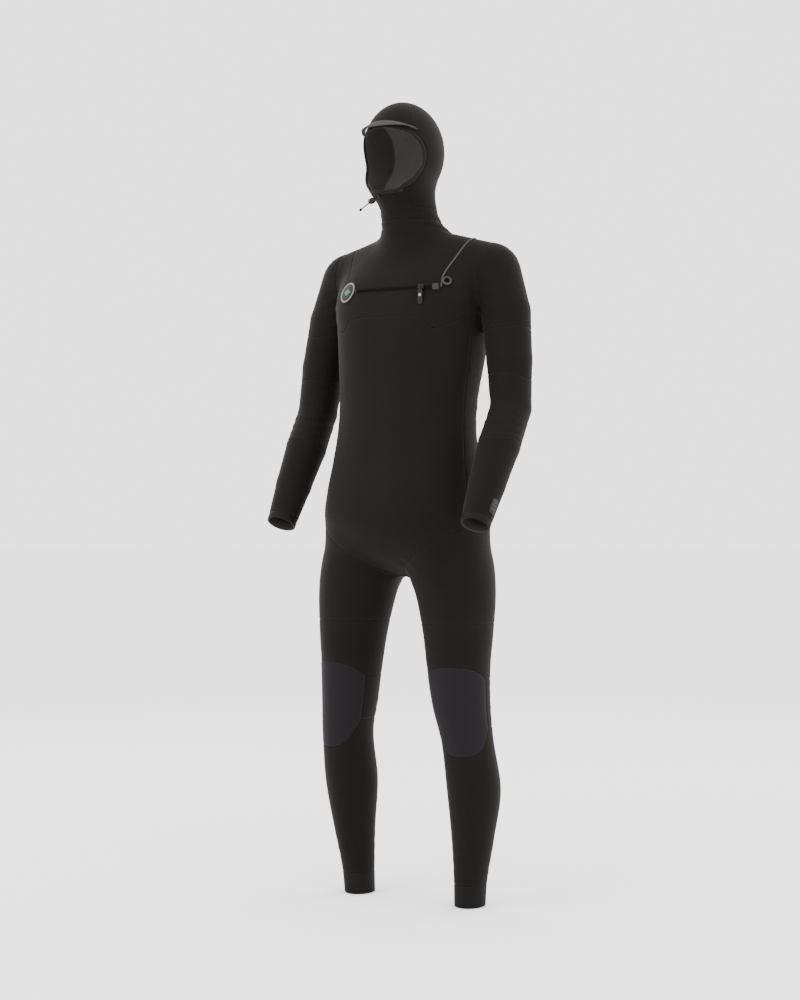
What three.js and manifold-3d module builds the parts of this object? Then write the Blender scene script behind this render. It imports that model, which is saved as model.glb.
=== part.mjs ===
// A hooded full wetsuit with a chest zip, standing in the shape of its wearer.
// Millimetres, +Z up, the wearer faces -Y and their left is +X.
// The suit is drawn with the ankle cuffs at height 0, and the whole group is moved at the end
// so that the origin is the middle of the shoulder line.
import * as THREE from "three";
import { mergeVertices } from "three/addons/utils/BufferGeometryUtils.js";
import Module from "manifold-3d";

// ---- driving sizes ----
const wall = 4; // neoprene
const seamGap = 0.5; // between neighbouring panels
const fitGap = 0.4; // between a trim piece and the panel under it

const kneeHeight = 422;
const crotchHeight = 714;
const waistHeight = 1000;
const chestHeight = 1268;
const shoulderHeight = 1340;
const collarHeight = 1441;
const jawHeight = 1466;
const headHeight = 1588; // middle of the head

const ankleWidth = 63;
const calfWidth = 110;
const kneeWidth = 116;
const thighWidth = 176;
const hipWidth = 368;
const waistWidth = 308;
const chestWidth = 336;
const stance = 138; // each ankle, from the middle
const headWidth = 160;
const headLength = 202;

const sleeveTop = 54; // radii along the sleeve
const sleeveElbow = 42.5;
const sleeveWrist = 30.5;

const zipHeight = 1290;
const zipClosedX = 84;
const zipStartX = -74;
const zipEndX = 106;
const chainHeight = 7;
const chainThickness = 2.2;
const chainClearance = 0.3; // off the chest where it stands out most
const sliderSize = [13, 5, 12];
const pullSize = [11, 2, 34];

const shoulderMid = new THREE.Vector3(0, 26, 1385);

// ---- the wearer's shape: a smooth field, negative inside ----
// trunk rows: height, centre y, half width, half depth, squareness of the outline
const trunkRows = [
  [crotchHeight - 24, -10, 30, 20, 2],
  [crotchHeight - 2, -11, 95, 62, 2],
  [crotchHeight + 26, -11, 150, 104, 2.1],
  [crotchHeight + 61, -12, 0.478 * hipWidth, 124, 2.2],
  [crotchHeight + 101, -13, hipWidth / 2, 133, 2.25],
  [crotchHeight + 156, -15, 0.48 * hipWidth, 126, 2.3],
  [waistHeight - 70, -16, waistWidth / 2 + 10, 112, 2.35],
  [waistHeight, -13, waistWidth / 2, 103, 2.4],
  [waistHeight + 70, -5, waistWidth / 2 - 1, 106, 2.45],
  [waistHeight + 140, 5, 0.47 * chestWidth, 115, 2.55],
  [chestHeight - 60, 13, 0.479 * chestWidth, 122, 2.75],
  [chestHeight, 19, chestWidth / 2, 121, 2.9],
  [shoulderHeight - 22, 26, 0.475 * chestWidth, 107, 2.8],
  [shoulderHeight + 20, 32, 126, 84, 2.5],
  [shoulderHeight + 55, 34, 70, 46, 2],
  [shoulderHeight + 75, 34, 25, 16, 2],
];
// leg rows: height, centre x, centre y, half width, half depth
const legRows = [
  [-40, stance - 1, 17, ankleWidth / 2 - 0.5, 36],
  [0, stance, 16, ankleWidth / 2, 37],
  [60, stance + 3, 14, ankleWidth / 2 + 3, 39],
  [140, stance + 10, 11, ankleWidth / 2 + 12, 48],
  [243, stance + 15, 7, calfWidth / 2, 61],
  [kneeHeight - 72, stance + 11, -13, kneeWidth / 2 - 5.5, 60],
  [kneeHeight, stance + 1, -20, kneeWidth / 2, 66],
  [kneeHeight + 78, stance - 5, -22, kneeWidth / 2 + 6.5, 71],
  [kneeHeight + 153, stance - 8, -19, kneeWidth / 2 + 14.5, 79],
  [crotchHeight - 62, stance - 16, -15, thighWidth / 2 - 6, 90],
  [crotchHeight, 106, -12, thighWidth / 2 + 2, 101],
  [crotchHeight + 51, 97, -12, thighWidth / 2 - 4, 96],
  [crotchHeight + 96, 95, -12, 60, 70],
  [crotchHeight + 131, 95, -12, 20, 25],
];
// the middle line of the left sleeve, each point with its radius
const armLine = [
  [187, 38, shoulderHeight - 14, sleeveTop],
  [217, 30, shoulderHeight - 100, sleeveTop - 3],
  [232, 17, shoulderHeight - 200, sleeveTop - 6.5],
  [242, 5, shoulderHeight - 300, sleeveElbow],
  [240, -42, shoulderHeight - 378, sleeveElbow + 1],
  [239, -90, shoulderHeight - 458, sleeveElbow - 4.5],
  [238, -138, shoulderHeight - 540, sleeveWrist],
  [238, -160, shoulderHeight - 577, sleeveWrist - 1.5],
].map(([x, y, z, r]) => ({ at: new THREE.Vector3(x, y, z), r }));

// A smooth value between table rows, by cubic Hermite spans.
function smooth(height, rows) {
  const last = rows.length - 1;
  const z = Math.min(Math.max(height, rows[0][0]), rows[last][0]);
  let i = 0;
  while (i < last - 1 && rows[i + 1][0] < z) i++;
  const slope = (k, c) => {
    const a = rows[Math.max(k - 1, 0)];
    const b = rows[Math.min(k + 1, last)];
    return (b[c] - a[c]) / (b[0] - a[0]);
  };
  const w = rows[i + 1][0] - rows[i][0];
  const t = (z - rows[i][0]) / w;
  const s = 1 - t;
  return rows[i].slice(1).map((value, c) => {
    const end = rows[i + 1][c + 1];
    const ends = (1 + 2 * t) * s * s * value + t * t * (3 - 2 * t) * end;
    return ends + t * s * w * (s * slope(i, c + 1) - t * slope(i + 1, c + 1));
  });
}

// The lesser of two distances, rounded where they are within k of each other.
function join(a, b, k) {
  const h = Math.max(k - Math.abs(a - b), 0) / k;
  return Math.min(a, b) - (h * h * k) / 4;
}

// Distance to a tapered bar with round ends.
function bar(p, a, b, ra, rb) {
  const d = b.clone().sub(a);
  const h = Math.min(Math.max(p.clone().sub(a).dot(d) / d.lengthSq(), 0), 1);
  return p.distanceTo(a.clone().addScaledVector(d, h)) - (ra + (rb - ra) * h);
}

function egg(p, centre, radii) {
  const q = p.clone().sub(centre).divide(radii);
  return (q.length() - 1) * Math.min(radii.x, radii.y, radii.z);
}

// A distance beside a table's rows, made to grow past its first and last row.
function pastEnds(distance, height, rows) {
  const over = Math.max(rows[0][0] - height, height - rows[rows.length - 1][0], 0);
  return over > 0 ? Math.hypot(Math.max(distance, 0), over) : distance;
}

function legField(p) {
  const [cx, cy, a, b] = smooth(p.z, legRows);
  const d = (Math.hypot((Math.hypot(p.x, 5) - cx) / a, (p.y - cy) / b) - 1) * Math.min(a, b);
  return pastEnds(d, p.z, legRows);
}

const neckFoot = new THREE.Vector3(0, 22, shoulderHeight + 20);
const neckTop = new THREE.Vector3(0, -14, jawHeight + 34);
const shoulderIn = new THREE.Vector3(0, 26, shoulderHeight + 35);
const shoulderOut = new THREE.Vector3(176, 38, shoulderHeight);
const skull = new THREE.Vector3(0, -24, headHeight);
const skullRadii = new THREE.Vector3(headWidth / 2, headLength / 2, 103);
const jaw = new THREE.Vector3(0, -55, headHeight - 63);
const jawRadii = new THREE.Vector3(0.39 * headWidth, 60, 58);

function trunkField(p) {
  const q = new THREE.Vector3(Math.abs(p.x), p.y, p.z);
  const [cy, a, b, square] = smooth(p.z, trunkRows);
  const t = ((q.x / a) ** square + (Math.abs(p.y - cy) / b) ** square) ** (1 / square);
  const core = pastEnds((t - 1) * Math.min(a, b), p.z, trunkRows);
  let f = join(core, legField(p), 30);
  f = join(f, bar(q, shoulderIn, shoulderOut, 60, 50), 45);
  f = join(f, bar(q, neckFoot, neckTop, 66, 58), 34);
  return join(f, join(egg(p, skull, skullRadii), egg(p, jaw, jawRadii), 25), 24);
}

function armField(p) {
  const q = new THREE.Vector3(Math.abs(p.x), p.y, p.z);
  let f = Infinity;
  for (let i = 0; i + 1 < armLine.length; i++) {
    const [from, to] = [armLine[i], armLine[i + 1]];
    const d = bar(q, from.at, to.at, from.r, to.r);
    f = f === Infinity ? d : join(f, d, 3);
  }
  return f;
}

const wholeField = (p) => join(trunkField(p), armField(p), 14);

function steepest(field, p) {
  const g = new THREE.Vector3();
  for (const axis of ["x", "y", "z"]) {
    const up = p.clone();
    const down = p.clone();
    up[axis] += 0.5;
    down[axis] -= 0.5;
    g[axis] = field(up) - field(down);
  }
  return g;
}

// The nearest point of the skin, by Newton steps down the field.
function toSkin(field, p) {
  const q = p.clone();
  for (let i = 0; i < 12; i++) {
    const g = steepest(field, q);
    q.addScaledVector(g, -field(q) / g.lengthSq());
  }
  return q;
}

// ---- seams: lists of points, each with the way into the suit ----
function seamPoint(field, p) {
  const at = toSkin(field, p);
  return { at, into: steepest(field, at).normalize().negate() };
}

// A flat ring round a limb. Its way in lies in its own plane, so the end of a tube is flat.
function ring(field, centre, axis, first, count) {
  const n = axis.clone().normalize();
  const start = first.clone().addScaledVector(n, -first.dot(n)).normalize();
  return Array.from({ length: count }, (_, k) => {
    const dir = start.clone().applyAxisAngle(n, (2 * Math.PI * k) / count);
    const on = (t) => centre.clone().addScaledVector(dir, t);
    let low = 2;
    while (field(on(low + 6)) < 0) low += 6;
    let high = low + 6;
    for (let i = 0; i < 30; i++) {
      const mid = (low + high) / 2;
      if (field(on(mid)) < 0) low = mid;
      else high = mid;
    }
    const at = on(low);
    const into = steepest(field, at).negate();
    into.addScaledVector(n, -into.dot(n)).normalize();
    return { at, into };
  });
}

// A seam through a few chosen points, laid on the skin.
function seam(field, points, count) {
  const line = new THREE.CatmullRomCurve3(points.map((p) => new THREE.Vector3(...p)));
  return line.getSpacedPoints(count).map((p) => seamPoint(field, p));
}

const mirrorPoint = ({ at, into }) => ({
  at: new THREE.Vector3(-at.x, at.y, at.z),
  into: new THREE.Vector3(-into.x, into.y, into.z),
});
const mirrored = (points) => points.map(mirrorPoint);
const pick = (points, ...ks) => ks.map((k) => points[(k + points.length) % points.length]);

// ---- panels ----
// Rows of points between two seams, straight from one to the other and then laid on the skin.
function rowsBetween(field, a, b, shares) {
  return shares.map((v) => {
    if (v === 0) return a;
    if (v === 1) return b;
    return a.map((s, k) => seamPoint(field, s.at.clone().lerp(b[k].at, v)));
  });
}

// A closed shell on rows of seam points. out is how far its face stands off the skin, thick its wall.
// closed joins each row's ends; free lists the edges that meet no neighbour.
function shell(rows, { closed = false, out = 0, thick = wall, free = "" } = {}) {
  const nv = rows.length;
  const nu = rows[0].length;
  const face = (depth) => rows.map((r) => r.map((s) => s.at.clone().addScaledVector(s.into, depth)));
  const layers = [face(-out), face(thick - out)];
  for (const g of layers) {
    const draw = (from, to) => {
      const d = to.clone().sub(from).normalize();
      from.addScaledVector(d, seamGap / 2);
    };
    for (let k = 0; k < nu; k++) {
      if (!free.includes("a")) draw(g[0][k], g[1][k]);
      if (!free.includes("b")) draw(g[nv - 1][k], g[nv - 2][k]);
    }
    for (const r of closed ? [] : g) {
      if (!free.includes("s")) draw(r[0], r[1]);
      if (!free.includes("e")) draw(r[nu - 1], r[nu - 2]);
    }
  }
  const flat = layers.flat(2);
  const id = (layer, j, k) => (layer * nv + j) * nu + (k % nu);
  const index = [];
  const quad = (a, b, c, d) => index.push(a, b, c, a, c, d);
  const spans = closed ? nu : nu - 1;
  for (let j = 0; j + 1 < nv; j++) {
    for (let k = 0; k < spans; k++) {
      quad(id(0, j, k), id(0, j, k + 1), id(0, j + 1, k + 1), id(0, j + 1, k));
      quad(id(1, j, k), id(1, j + 1, k), id(1, j + 1, k + 1), id(1, j, k + 1));
    }
    if (closed) continue;
    quad(id(0, j, 0), id(0, j + 1, 0), id(1, j + 1, 0), id(1, j, 0));
    quad(id(0, j, nu - 1), id(1, j, nu - 1), id(1, j + 1, nu - 1), id(0, j + 1, nu - 1));
  }
  for (let k = 0; k < spans; k++) {
    quad(id(0, 0, k), id(1, 0, k), id(1, 0, k + 1), id(0, 0, k + 1));
    quad(id(0, nv - 1, k), id(0, nv - 1, k + 1), id(1, nv - 1, k + 1), id(1, nv - 1, k));
  }
  return fromTriangles(flat, index);
}

// Six times the signed volume, to tell which way the faces point.
function volumeOf(points, index) {
  let sum = 0;
  for (let i = 0; i < index.length; i += 3) {
    const [a, b, c] = index.slice(i, i + 3).map((k) => points[k]);
    sum += a.dot(b.clone().cross(c));
  }
  return sum;
}

function fromTriangles(points, index) {
  const turned = volumeOf(points, index) < 0;
  const order = turned ? index.map((_, i) => index[i - (i % 3) + [0, 2, 1][i % 3]]) : index;
  const geometry = new THREE.BufferGeometry();
  geometry.setAttribute("position", new THREE.Float32BufferAttribute(points.flatMap((p) => [p.x, p.y, p.z]), 3));
  geometry.setIndex(order);
  geometry.computeVertexNormals();
  return geometry;
}

// ---- finishes ----
const finish = (color, roughness, metalness = 0) =>
  new THREE.MeshStandardMaterial({ color, roughness, metalness });
const jersey = finish(0x262423, 0.85);
const smoothSkin = finish(0x2c2a29, 0.55);
const padding = finish(0x2b2a31, 0.8);
const binding = finish(0x5c5a58, 0.7);
const hardware = finish(0x17171a, 0.4);
const badge = finish(0x4c8f82, 0.5);
const metal = finish(0x8f9092, 0.35, 0.9);

const suit = new THREE.Group();
function add(name, geometry, material) {
  const mesh = new THREE.Mesh(geometry, material.clone());
  mesh.name = name;
  suit.add(mesh);
  return mesh;
}
function addPair(name, make, material) {
  add(`${name}_left`, make(1), material);
  add(`${name}_right`, make(-1), material);
}
const onSide = (side, points) => (side > 0 ? points : mirrored(points));
const onSideRows = (side, rows) => rows.map((r) => onSide(side, r));

// ---- seams of the trunk ----
const limbSides = 12; // points round each limb ring
const up = new THREE.Vector3(0, 0, 1);
const down = new THREE.Vector3(0, 0, -1);
const forward = new THREE.Vector3(0, -1, 0);

// Armhole: point 0 is the armpit, 1 to 5 the front, 6 the top, 7 to 11 the back.
const armholeMid = new THREE.Vector3(177, 37, shoulderHeight - 14);
const armhole = ring(wholeField, armholeMid, new THREE.Vector3(-1, 0, 0.04), down, limbSides);
// Leg line: point 0 is by the crotch, 1 to 5 the front, 6 the outer hip, 7 to 11 the back.
const legLineSlope = 0.62;
const crotchPoint = toSkin(trunkField, new THREE.Vector3(0, -11, crotchHeight - 6));
const legLineMid = new THREE.Vector3(92, -11, crotchPoint.z - 2 + 92 * legLineSlope);
const legLineAxis = new THREE.Vector3(-legLineSlope, 0, 1);
const legLine = ring(trunkField, legLineMid, legLineAxis, new THREE.Vector3(-1, 0, -legLineSlope), limbSides);

const collarMid = new THREE.Vector3(0, 8, collarHeight);
const neckAngles = (from, to, count) =>
  Array.from({ length: count + 1 }, (_, k) => from + ((to - from) * k) / count);
// A point of the flat ring at one height; angle 0 is the front and 90 the wearer's left.
function ringPoint(field, mid, degrees) {
  const a = (degrees * Math.PI) / 180;
  const dir = new THREE.Vector3(Math.sin(a), -Math.cos(a), 0);
  return ring(field, mid, new THREE.Vector3(0, 0, 1), dir, 1)[0];
}
const shoulderAngle = 98;
const topArm = armhole[6];
const frontPick = [6, 5, 4, 3, 2, 1];
const backPick = [6, 7, 8, 9, 10, 11];
const neckFront = neckAngles(shoulderAngle, -shoulderAngle, 21).map((a) => ringPoint(trunkField, collarMid, a));
const neckBack = neckAngles(shoulderAngle, 360 - shoulderAngle, 21).map((a) => ringPoint(trunkField, collarMid, a));

// The flap's edge leaves the shoulder line two thirds of the way out and drops to the zip.
const flapShare = 0.7;
const flapTop = seamPoint(wholeField, neckFront[0].at.clone().lerp(topArm.at, flapShare));
const flapCornerX = 122;
const flapSide = seam(wholeField, [
  flapTop.at.toArray(),
  [134, -22, zipHeight + 76],
  [flapCornerX + 3, -70, zipHeight + 36],
  [flapCornerX, -76, zipHeight],
], 5);
flapSide[0] = flapTop;
const zipLine = seam(wholeField, [
  [flapCornerX, -76, zipHeight],
  [60, -92, zipHeight],
  [0, -95, zipHeight],
  [-60, -92, zipHeight],
  [-flapCornerX, -76, zipHeight],
], 11);
const flapEdge = [...flapSide.slice(0, 5), ...zipLine, ...mirrored(flapSide.slice(0, 5)).reverse()];
flapEdge[5] = flapSide[5];
flapEdge[16] = mirrorPoint(flapSide[5]);

// The lower chest seam runs level, dips to a point on each side and rises to the armpit.
const chestSeamHeight = 1233;
const dip = 28;
const chestHalf = [
  [117, -84, chestSeamHeight - dip],
  [88, -96, chestSeamHeight - 6],
  [58, -98, chestSeamHeight],
  [30, -104, chestSeamHeight],
  [10, -106, chestSeamHeight],
].map((p) => seamPoint(trunkField, new THREE.Vector3(...p)));
const chestSeam = [armhole[1], ...chestHalf, ...mirrored(chestHalf).reverse(), mirrorPoint(armhole[1])];
const chestOuter = [
  ...pick(armhole, ...frontPick.slice(0, 5)),
  ...chestSeam,
  ...mirrored(pick(armhole, ...frontPick.slice(0, 5))).reverse(),
];

const backSeamHeight = 1225;
const backHalf = [
  [128, 90, backSeamHeight],
  [98, 118, backSeamHeight - 4],
  [68, 132, backSeamHeight - 6],
  [38, 138, backSeamHeight - 6],
  [12, 140, backSeamHeight - 6],
].map((p) => seamPoint(trunkField, new THREE.Vector3(...p)));
const backSeam = [armhole[11], ...backHalf, ...mirrored(backHalf).reverse(), mirrorPoint(armhole[11])];
const backOuter = [
  ...pick(armhole, ...backPick.slice(0, 5)),
  ...backSeam,
  ...mirrored(pick(armhole, ...backPick.slice(0, 5))).reverse(),
];

// ---- trunk panels ----
const trunkShares = [0, 0.14, 0.3, 0.5, 0.68, 0.84, 1];
const legFront = [...pick(legLine, 5, 4, 3, 2, 1, 0), ...mirrored(pick(legLine, 0, 1, 2, 3, 4, 5))];
const legBack = [...pick(legLine, 7, 8, 9, 10, 11, 0), ...mirrored(pick(legLine, 0, 11, 10, 9, 8, 7))];
add("front_torso_panel", shell(rowsBetween(trunkField, chestSeam, legFront, trunkShares)), jersey);
add("back_torso_panel", shell(rowsBetween(trunkField, backSeam, legBack, trunkShares)), jersey);
const sideTop = pick(armhole, 1, 0, 11);
const sideFoot = pick(legLine, 5, 6, 7);
addPair("side_panel", (s) =>
  shell(onSideRows(s, rowsBetween(trunkField, sideTop, sideFoot, trunkShares))), jersey);
add("chest_flap", shell(rowsBetween(wholeField, neckFront, flapEdge, [0, 0.5, 1])), jersey);
add("chest_panel", shell(rowsBetween(wholeField, flapEdge, chestOuter, [0, 1])), jersey);
const backRows = rowsBetween(wholeField, neckBack, backOuter, [0, 0.5 * flapShare, flapShare, 1]);
add("back_yoke", shell(backRows), jersey);

// ---- tubes: sleeves, legs, neck ----
const armAt = (k, toward) => {
  const a = armLine[k].at;
  return a.clone().lerp(armLine[k + 1].at, toward);
};
// Every limb ring is counted from the inner side, then round the front.
const armAxis = (k) => armLine[k].at.clone().sub(armLine[k + 1].at);
const sleeveRing = (k, toward, axis) =>
  ring(armField, armAt(k, toward), axis, new THREE.Vector3(-1, 0, 0), limbSides);
// From the armhole to the wrist: each ring is named by what starts there.
const elbowAxis = new THREE.Vector3(0, 0.3, 0.95);
const upperSleeveRing = sleeveRing(1, 0.4, armAxis(1));
const elbowTopRing = sleeveRing(2, 0.3, armAxis(2));
const elbowMidRing = sleeveRing(3, 0, elbowAxis);
const forearmRing = sleeveRing(4, 0.05, armAxis(4));
const forearmMid = sleeveRing(5, 0, armAxis(5));
const cuffRing = sleeveRing(5, 0.85, armAxis(5));
const wristEnd = sleeveRing(6, 0.02, armAxis(6));

const tube = (rows, options) => shell(rows, { closed: true, ...options });
const shoulderRows = rowsBetween(wholeField, armhole, upperSleeveRing, [0, 0.35, 0.7, 1]);
addPair("shoulder_panel", (s) => tube(onSideRows(s, shoulderRows)), jersey);
addPair("upper_sleeve", (s) => tube(onSideRows(s, [upperSleeveRing, elbowTopRing])), jersey);
addPair("elbow_panel", (s) => tube(onSideRows(s, [elbowTopRing, elbowMidRing, forearmRing])), padding);
addPair("forearm_sleeve", (s) => tube(onSideRows(s, [forearmRing, forearmMid, cuffRing])), jersey);
addPair("wrist_seal", (s) => tube(onSideRows(s, [cuffRing, wristEnd]), { free: "b" }), smoothSkin);

const legMid = (height) => {
  const [x, y] = smooth(height, legRows);
  return new THREE.Vector3(x, y, height);
};
const legRing = (height) =>
  ring(legField, legMid(height), up, new THREE.Vector3(-1, 0, 0), limbSides);
const hipFoot = crotchHeight - 120;
const kneeTop = kneeHeight + 80;
const kneeFoot = kneeHeight - 94;
const ankleTop = 46;
const legRings = {
  hip: ring(trunkField, legMid(hipFoot), up, new THREE.Vector3(-1, 0, 0), limbSides),
  kneeTop: legRing(kneeTop),
  kneeMid: legRing(kneeHeight - 6),
  kneeFoot: legRing(kneeFoot),
  calf: legRing(243),
  shin: legRing(150),
  ankle: legRing(ankleTop),
  end: legRing(0),
};
const hipRows = rowsBetween(trunkField, legLine, legRings.hip, [0, 0.35, 0.7, 1]);
addPair("hip_panel", (s) => tube(onSideRows(s, hipRows)), jersey);
addPair("thigh_panel", (s) => tube(onSideRows(s, [legRings.hip, legRings.kneeTop])), jersey);
// The knee is a pad round the front and a soft panel behind it.
const kneeRows = [legRings.kneeTop, legRings.kneeMid, legRings.kneeFoot];
const padPart = kneeRows.map((r) => pick(r, 1, 2, 3, 4, 5, 6));
const behindPart = kneeRows.map((r) => pick(r, 6, 7, 8, 9, 10, 11, 0, 1));
addPair("knee_pad", (s) => shell(onSideRows(s, padPart)), padding);
addPair("knee_back_panel", (s) => shell(onSideRows(s, behindPart)), jersey);
const calfRows = [legRings.kneeFoot, legRings.calf, legRings.shin, legRings.ankle];
addPair("calf_panel", (s) => tube(onSideRows(s, calfRows)), jersey);
addPair("ankle_seal", (s) => tube(onSideRows(s, [legRings.ankle, legRings.end]), { free: "b" }), smoothSkin);

// ---- hood ----
const jawMid = new THREE.Vector3(0, -4, jawHeight);
const neckSides = 18;
const neckRings = [collarMid, jawMid].map((m) => ring(trunkField, m, up, forward, neckSides));
add("neck_panel", tube(neckRings), jersey);

// Each row of the hood's side runs from the face opening back to the middle band.
const hoodSpans = 6;
const chinAngle = 42;
const napeAngle = 138;
const hoodRows = [
  neckAngles(chinAngle, napeAngle, hoodSpans).map((a) => ringPoint(trunkField, jawMid, a)),
  ...[
    [[46, -100, 1481], [70, -45, 1493], [66, 15, 1500], [42, 50, 1505]],
    [[69, -74, 1516], [80, -25, 1530], [66, 32, 1543], [45, 62, 1550]],
    [[76, -54, 1556], [80, -22, 1582], [68, 28, 1598], [47, 64, 1600]],
    [[72, -62, 1592], [78, -25, 1622], [66, 15, 1642], [48, 52, 1640]],
    [[60, -86, 1620], [54, -58, 1664], [50, -18, 1681], [48, 22, 1672]],
  ].map((points) => seam(trunkField, points, hoodSpans)),
];
addPair("hood_side", (s) => shell(onSideRows(s, hoodRows), { free: "s" }), jersey);

// The band's edge follows the top row of the side forward to back, then the rows' back ends down.
const bandEdge = [...hoodRows[5], ...hoodRows.slice(0, 5).reverse().map((r) => r[hoodSpans])];
const bandMiddle = bandEdge.map((s, k) => {
  if (k === bandEdge.length - 1) return ringPoint(trunkField, jawMid, 180);
  return seamPoint(trunkField, new THREE.Vector3(0, s.at.y + (s.at.y - skull.y) * 0.22, s.at.z + 6));
});
const bandHalf = rowsBetween(trunkField, bandEdge, bandMiddle, [0, 0.5, 1]);
const bandRows = [...bandHalf, ...bandHalf.slice(0, 2).map(mirrored).reverse()];
add("hood_middle_band", shell(bandRows, { free: "s" }), jersey);

// Chin panel, from the jaw ring up to the foot of the face opening.
const chinFoot = neckAngles(chinAngle, -chinAngle, 4).map((a) => ringPoint(trunkField, jawMid, a));
const chinTop = seam(trunkField, [[46, -100, 1481], [24, -110, 1475], [0, -114, 1473], [-24, -110, 1475], [-46, -100, 1481]], 4);
chinTop[0] = hoodRows[1][0];
chinTop[4] = mirrorPoint(hoodRows[1][0]);
add("chin_panel", shell([chinFoot, chinTop], { free: "b" }), jersey);

// A thin strip carried along an open seam, square in section and standing off the panels.
function piping(points, across, thick) {
  const n = points.length;
  const path = new THREE.CatmullRomCurve3(points.map((p) => p.at));
  const corners = points.flatMap(({ at, into }, k) => {
    const side = path.getTangent(k / (n - 1)).cross(into).normalize().multiplyScalar(across / 2);
    const foot = at.clone().addScaledVector(into, -fitGap);
    const top = foot.clone().addScaledVector(into, -thick);
    return [foot.clone().add(side), foot.clone().sub(side), top.clone().sub(side), top.clone().add(side)];
  });
  const index = [];
  for (let k = 0; k + 1 < n; k++) {
    for (let c = 0; c < 4; c++) {
      const [a, b] = [k * 4 + c, k * 4 + ((c + 1) % 4)];
      index.push(a, b, b + 4, a, b + 4, a + 4);
    }
  }
  const z = (n - 1) * 4;
  index.push(0, 2, 1, 0, 3, 2, z, z + 1, z + 2, z, z + 2, z + 3);
  return fromTriangles(corners, index);
}

// The seal sits inside the rim of the face opening, edge to edge with the hood.
const sealWidth = 9;
const sealThickness = 3;
const faceMid = new THREE.Vector3(0, -70, headHeight - 40);
const rimSide = hoodRows.slice(1).map((r) => r[0]);
const rim = [...rimSide, bandMiddle[0], ...mirrored(rimSide).reverse(), ...chinTop.slice(1, 4).reverse()];
const sealRow = (depth) => rim.map(({ at, into }) => {
  const inward = faceMid.clone().sub(at);
  inward.addScaledVector(into, -inward.dot(into)).normalize();
  return { at: at.clone().addScaledVector(inward, depth), into };
});
const sealRows = [sealRow(2 * fitGap), sealRow(sealWidth)];
add("face_seal", tube(sealRows, { free: "ab", thick: sealThickness }), binding);

// Visor: a soft brim on the hood's front edge, deepest in the middle.
const visorThickness = 3;
const visorDepth = 15;
const visorTip = 4;
const visorOff = 1.6; // off the hood
const visorLine = seam(trunkField, [
  [65, -77, headHeight + 33],
  [42, -101, headHeight + 42],
  [0, -113, headHeight + 46],
  [-42, -101, headHeight + 42],
  [-65, -77, headHeight + 33],
], 8);
const visorRow = (reach) => visorLine.map(({ at, into }, k) => {
  const middle = Math.sin((Math.PI * k) / 8);
  const out = new THREE.Vector3(-into.x, -into.y, 0).normalize();
  const depth = visorOff + reach * (visorTip + (visorDepth - visorTip) * middle);
  return { at: at.clone().addScaledVector(out, depth).setZ(at.z - reach * 5 * middle), into: down };
});
add("visor", shell([visorRow(0), visorRow(1)], { free: "abse", thick: visorThickness }), padding);

// ---- flap piping, badges, eyelet ----
add("flap_piping_left", piping(flapEdge.slice(0, 6), 3, 1.2), binding);

// A thin rounded patch laid on the skin, wide across and tall upwards.
function patch(field, middle, wide, tall, thick, out, spans = 4) {
  const centre = seamPoint(field, new THREE.Vector3(...middle));
  const across = up.clone().cross(centre.into).normalize();
  const along = centre.into.clone().cross(across).normalize();
  const steps = Array.from({ length: spans + 1 }, (_, k) => (2 * k) / spans - 1);
  const rows = steps.map((v) => steps.map((u) => {
    const du = u * Math.sqrt(1 - (v * v) / 2);
    const dv = v * Math.sqrt(1 - (u * u) / 2);
    const p = centre.at.clone().addScaledVector(across, (du * wide) / 2).addScaledVector(along, (dv * tall) / 2);
    return seamPoint(field, p);
  }));
  return shell(rows, { free: "abse", thick, out: out + thick });
}
const badgeThickness = 0.8;
add("chest_badge", patch(wholeField, [-104, -84, zipHeight], 46, 50, badgeThickness, 0.8), badge);
add("wrist_badge", patch(armField, [268, -122, shoulderHeight - 503], 18, 32, badgeThickness, 1), badge);

const eyeletRadius = 11;
const eyeletHole = 4.5;
const eyeletThickness = 4;
const eyeletAt = seamPoint(wholeField, new THREE.Vector3(136, -76, zipHeight + 18));
const eyeletProfile = [
  [eyeletHole, 0],
  [eyeletRadius, 0],
  [eyeletRadius, 0.6 * eyeletThickness],
  [0.75 * eyeletRadius, eyeletThickness],
  [eyeletHole, eyeletThickness],
  [eyeletHole, 0],
].map(([x, y]) => new THREE.Vector2(x, y));
// Turns a mesh drawn along +Y so that +Y points out of the suit, and sets it off the skin.
function standOn(mesh, { at, into }, off) {
  const out = into.clone().negate();
  mesh.quaternion.setFromUnitVectors(new THREE.Vector3(0, 1, 0), out);
  mesh.position.copy(at).addScaledVector(out, off);
}
standOn(add("chest_eyelet", new THREE.LatheGeometry(eyeletProfile, 16), hardware), eyeletAt, 1);

// ---- chest zip, bent to one radius so that the slider can run along it ----
const zipFront = ringPoint(wholeField, new THREE.Vector3(0, 20, zipHeight), 0).at;
const zipSkin = toSkin(wholeField, new THREE.Vector3(zipClosedX, -84, zipHeight));
const zipSag = zipSkin.y - zipFront.y;
const zipRadius = (zipClosedX ** 2 + zipSag ** 2) / (2 * zipSag);
const zipCentre = new THREE.Vector3(0, zipFront.y + zipRadius, zipHeight);
const zipAngle = (x) => Math.asin(x / zipRadius);
// The chain clears the chest panel's face at the chain's lower edge.
const panelReach = zipLine.map(({ at }, k) => {
  const below = chestOuter[k + 5].at;
  const p = at.clone().lerp(below, chainHeight / 2 / (at.z - below.z));
  return Math.hypot(p.x, p.y - zipCentre.y);
});
const chainBack = Math.max(...panelReach) + chainClearance;
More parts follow.
